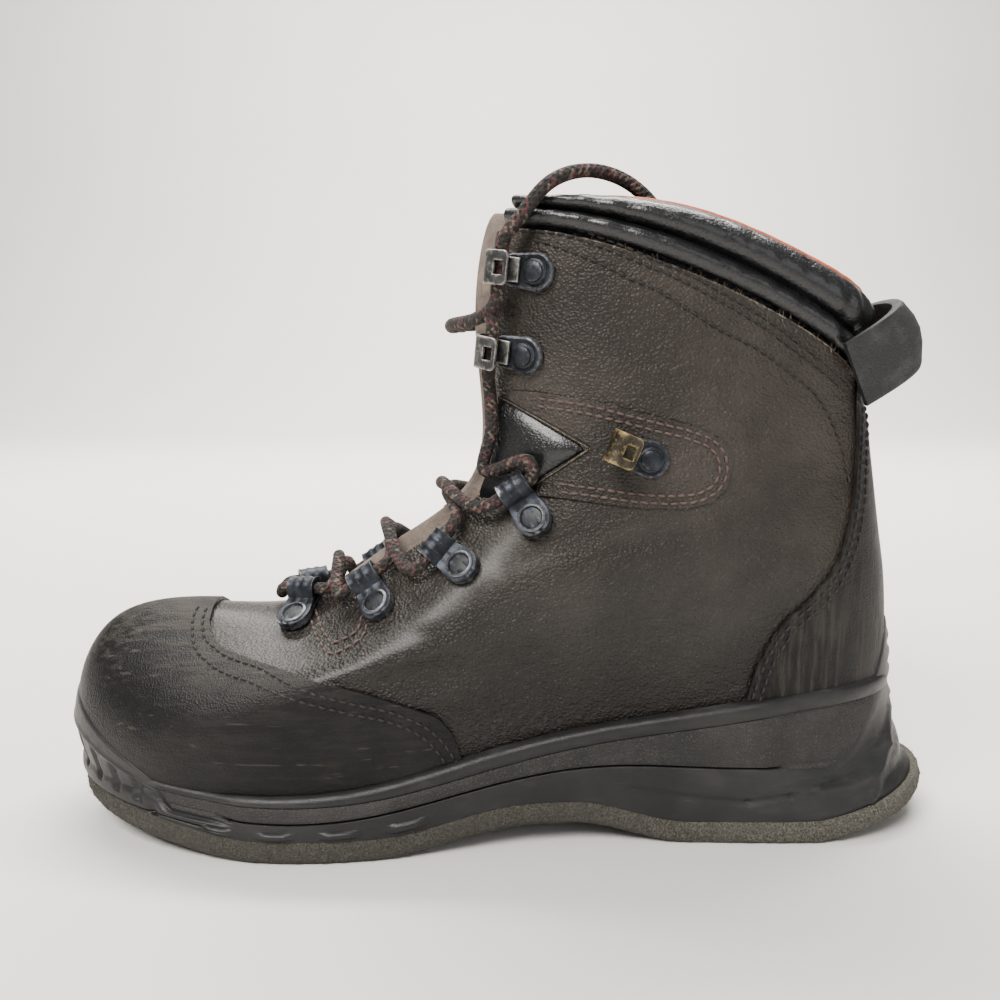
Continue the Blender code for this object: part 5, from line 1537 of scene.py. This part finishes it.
def strand(start):
    """Half of the lace, from the bar at the toe to the top hook, crossing at every step."""
    side = start
    route = [over_ridge(3.57, LACE * 0.8), loop_end(side, 0, -1, LEAD), loop_end(side, 0, -1, 0.0)]
    for k, level in enumerate(CROSS_LEVELS):
        out = LACE * (1.0 if side > 0 else 1.75)
        route += [loop_end(side, k, 1, 0.0), loop_end(side, k, 1, LEAD), over_ridge(level, out),
                  loop_end(-side, k + 1, -1, LEAD), loop_end(-side, k + 1, -1, 0.0)]
        side = -side
    route += [loop_end(side, 3, 1, 0.0), loop_end(side, 3, 1, 1.2), loop_turn(side, 3)]
    for level, wide in RUN_RAILS:
        turn = turn_at_width(side, level, wide)[0]
        route.append(upper_surface(turn, level, LACE * 1.15)[0])
    route += [hook_end(side, 1, -1, LEAD), hook_end(side, 1, -1, 0.0), hook_end(side, 1, 1, 0.0),
              hook_end(side, 1, 1, LEAD)]
    out = 5.4 if side > 0 else 5.4 + LACE * 0.85
    route += [over_ridge(7.1, out), hook_end(-side, 2, -1, LEAD), hook_end(-side, 2, -1, 0.0),
              hook_end(-side, 2, 1, 0.0)]
    return smooth_route(route, 1.1)


lace = braided("lace", [strand(1), strand(-1)], LACE)
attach(lace, "root")
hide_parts("lace_bar", "lace_run_medial", "lace_run_lateral",
            *[f"lace_crossing_{k}" for k in (1, 2, 3, 4)])
loose_route = smooth_route([hook_end(1, 2, 1, 0.0), hook_end(1, 2, 1, LEAD), *LACE_END_ROUTE], 1.0)
loose_end = braided("lace_loose_end", [loose_route], LACE)
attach(loose_end, "root")
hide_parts("lace_end")

# Stitches, raw edges and drain holes. Waxed thread just under 1 mm thick, a stitch every 3.4 mm,
# pale frayed edges where the leather is cut, and thirteen drain holes over the arch.
STITCH_PITCH = 3.4
STITCH_LONG = 2.9
STITCH_THICK = 0.95
FIBRES_A_SIDE = 150
TOPSTITCH = ((0.484, 0.944), (0.461, 0.937), (0.443, 0.926), (0.422, 0.914), (0.401, 0.900),
             (0.374, 0.880), (0.359, 0.872), (0.320, 0.839), (0.284, 0.809), (0.247, 0.784),
             (0.212, 0.750), (0.180, 0.715), (0.164, 0.683), (0.147, 0.635), (0.135, 0.575))
COLLAR_SEAM = ((0.495, 0.972), (0.440, 0.958), (0.400, 0.937), (0.360, 0.913), (0.322, 0.890),
               (0.282, 0.861), (0.240, 0.828), (0.197, 0.787), (0.163, 0.753), (0.136, 0.724))
CAP_SEAM = ((0.553, 0.100), (0.565, 0.134), (0.587, 0.182), (0.619, 0.212), (0.668, 0.234),
            (0.722, 0.256), (0.765, 0.270), (0.812, 0.281), (0.850, 0.310), (0.858, 0.345),
            (0.852, 0.372))
COUNTER_SEAM = ((0.246, 0.205), (0.237, 0.232), (0.229, 0.275), (0.213, 0.327), (0.196, 0.361),
                (0.172, 0.391), (0.149, 0.430), (0.136, 0.471), (0.127, 0.532), (0.124, 0.616),
                (0.121, 0.700))
TONGUE_SEAM = ((0.721, 0.372), (0.709, 0.340), (0.684, 0.325), (0.661, 0.347), (0.661, 0.384))
DRAIN_HOLES = ((0.525, 0.178), (0.516, 0.195), (0.509, 0.206), (0.505, 0.183), (0.498, 0.199),
               (0.488, 0.210), (0.485, 0.188), (0.475, 0.202), (0.467, 0.216), (0.466, 0.195),
               (0.460, 0.206), (0.445, 0.201), (0.424, 0.207))

dark_thread = Finish("dark_thread", roughness=0.8)
dark_thread.wear("Base Color", dark_thread.blend(
    dark_thread.noise(900.0, 2.0, 0.6), (0.0045, 0.0038, 0.0034), (0.017, 0.0140, 0.0120)))
rose_thread = Finish("rose_thread", roughness=0.85)
rose_thread.wear("Base Color", rose_thread.blend(
    rose_thread.noise(700.0, 3.0, 0.6), (0.030, 0.020, 0.018), (0.125, 0.078, 0.068)))
raw = Finish("raw_leather_edge", roughness=0.95)
raw.colour(raw.noise(420.0, 4.0, 0.7), 0.35, 0.65, (0.060, 0.048, 0.036), (0.215, 0.185, 0.145))
raw.relief((raw.noise(1500.0, 3.0, 0.7), 0.0006))


def seam_places(side, rows, aside=0.0, finest=0.5):
    """Spokes and levels close together along a seam drawn in side view, moved aside."""
    flat = np.array([(station * LENGTH, height * HEIGHT, 0.0) for station, height in rows])
    flat = smooth_route(flat, 6.0)
    run = unit(np.gradient(flat, axis=0))
    flat = flat + np.stack([-run[:, 1], run[:, 0], run[:, 2]], axis=1) * aside
    marks = np.array([[*find_place(side, station, height), 0.0] for station, height, _ in flat])
    seen = smooth_last(marks[:, 0], marks[:, 1])
    marks = marks[np.linalg.norm(seen[:, [0, 2]] - flat[:, :2], axis=1) < 1.0]
    marks[:, 0] *= 60.0
    marks[:, 1] *= 20.0
    fine = smooth_route(marks, finest)
    return fine[:, 0] / 60.0, fine[:, 1] / 20.0


def along_seam(spoke, level, out, pitch):
    """Places, directions and normals at even steps along a seam."""
    points = upper_surface(spoke, level, out)
    gone = gone_along(points)
    at = np.arange(pitch / 2.0, gone[-1], pitch)
    turn, climb = np.interp(at, gone, spoke), np.interp(at, gone, level)
    run = unit(read_along(at + 0.5, gone, points) - read_along(at - 0.5, gone, points))
    return read_along(at, gone, points), run, last_normal(turn, climb)


STITCH_RINGS = (
    # share of the length, share of the thickness, rise, mm
    (-0.5, 0.25, -0.55), (-0.40, 0.8, -0.05), (-0.15, 1.0, 0.22),
    (0.15, 1.0, 0.22), (0.40, 0.8, -0.05), (0.5, 0.25, -0.55))


def stitched(heap, middle, run, normal, rng):
    """One rounded stitch at each place, sunk at both ends."""
    aside = np.cross(normal, run)
    angle = np.arange(6) * FULL_TURN / 6
    ends = [list(range(6)), [30 + k for k in range(6)]]
    for spot, forward, out, across in zip(middle, run, normal, aside):
        tilt = rng.normal(0.0, 0.05)
        forward = forward + across * tilt
        round_it = (np.cos(angle)[:, None] * across + np.sin(angle)[:, None] * out) * STITCH_THICK / 2.0
        rings = [spot + forward * share * STITCH_LONG + out * rise + round_it * size
                 for share, size, rise in STITCH_RINGS]
        heap.add(np.vstack(rings), ring_faces(6, 6) + ends)


rng = np.random.default_rng(11)
dark_rows, rose_rows, drain_hole_shades = Heap(), Heap(), Heap()
flat_overlay = LIFT + OVERLAY
SEAMS = (
    # rows, moves aside, height over the leather, heap
    (TOPSTITCH, (0.0,), 0.1, dark_rows), (COLLAR_SEAM, (0.0, 2.6), 0.1, dark_rows),
    (CAP_SEAM, (0.0, 3.4), flat_overlay, dark_rows), (COUNTER_SEAM, (0.0, 2.8), flat_overlay, dark_rows),
    (PANEL_OUTLINE[1:-1], (2.0, 4.6), PANEL + 0.05, rose_rows), (TONGUE_SEAM, (0.0, 2.6), 0.1, rose_rows))
for side in (1, -1):
    for rows, moves, out, heap in SEAMS:
        for aside in moves:
            spoke, level = seam_places(side, rows, aside)
            stitched(heap, *along_seam(spoke, level, out, STITCH_PITCH), rng)
    for station, height in DRAIN_HOLES:
        spoke, level = find_place(side, station * LENGTH, height * HEIGHT)
        normal = last_normal(spoke, level)[0]
        forward = unit(np.cross(normal, (0.0, 0.0, 1.0)))
        frame = (upper_surface(spoke, level)[0], forward, np.cross(normal, forward), normal)
        # Each drain hole is a dark disc on the leather, painted shade in place of an open hole.
        drain_hole_shades.add(*turned(((0.85, -0.3), (0.85, 0.06), (0.4, 0.05)), frame, 14))
threads = ((dark_rows.made("dark_stitches", dark_thread, sharp=80.0), "leather"),
           (rose_rows.made("rose_stitches", rose_thread, sharp=80.0), "leather"),
           (drain_hole_shades.made("drain_holes", hole_shade), "leather"))
for piece, slot_name in threads:
    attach(piece, "root")


def cut_edge(spoke, level, radius, out):
    """A bead of raw leather along an edge of the upper."""
    rows = []
    run = unit(np.gradient(upper_surface(spoke, level), axis=0))
    normal = last_normal(spoke, level)
    up = np.cross(run, normal)
    middle = upper_surface(spoke, level, out)
    jitter = 1.0 + rng.normal(0.0, 0.10, len(spoke))[:, None]
    for angle in np.arange(8) * FULL_TURN / 8:
        bulge = normal * math.cos(angle) * WALL / 2.0 * 0.98 + up * math.sin(angle) * radius
        rows.append(middle + bulge * jitter)
    return closed_bar(rows)


edges = Heap()
for side in (1, -1):
    start = 0.0 if side > 0 else FULL_TURN
    spokes = np.linspace(start, turn_at_width(side, COLLAR_EDGE, half_gap(COLLAR_EDGE))[0], 260)
    edges.add(*cut_edge(spokes, np.full(260, COLLAR_EDGE), 0.55, -WALL / 2.0))
    levels = np.linspace(THROAT_BASE + 0.25, COLLAR_EDGE, 90)
    edges.add(*cut_edge(turn_at_width(side, levels, half_gap(levels)), levels, 0.45, -WALL / 2.0))
    spoke, level = seam_places(side, (NOTCH_FOOT, (0.462, 0.586), NOTCH_TIP), 0.4)
    edges.add(*cut_edge(spoke, level, 0.35, -0.3))
    spoke, level = seam_places(side, (NOTCH_TIP, (0.462, 0.670), NOTCH_TOP), 0.4)
    edges.add(*cut_edge(spoke, level, 0.25, -0.5))
raw_edges = edges.made("raw_edges", raw, sharp=80.0)
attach(raw_edges, "root")

fibres = Heap()
for side in (1, -1):
    near = rng.uniform(0.15, 2.2, FIBRES_A_SIDE)
    for turn in near if side > 0 else FULL_TURN - near:
        root = upper_surface(turn, COLLAR_EDGE, -0.6)[0]
        normal = last_normal(turn, COLLAR_EDGE)[0]
        drift = rng.normal(0.0, 1.5, 3) + normal * rng.uniform(0.2, 1.6)
        drift[2] += rng.uniform(-0.4, 1.6)
        hair(fibres, root, drift, HAIR_HALF, rng.normal(0.0, 0.4, 3))
frayed = fibres.made("frayed_fibres", raw)
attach(frayed, "root")

# Insole. Grey felted sheet on the footbed, seen only down the shaft.
felted = Finish("felted_insole", roughness=0.97)
felted.colour(felted.noise(900.0, 4.0, 0.7), 0.35, 0.65, (0.045, 0.042, 0.038), (0.095, 0.090, 0.082))
felted.relief((felted.noise(700.0, 4.0, 0.7), 0.0008))
for item in bpy.data.objects:
    if item.type == "MESH" and item.name == "insole":
        item.data.materials.clear()
        item.data.materials.append(felted.material)
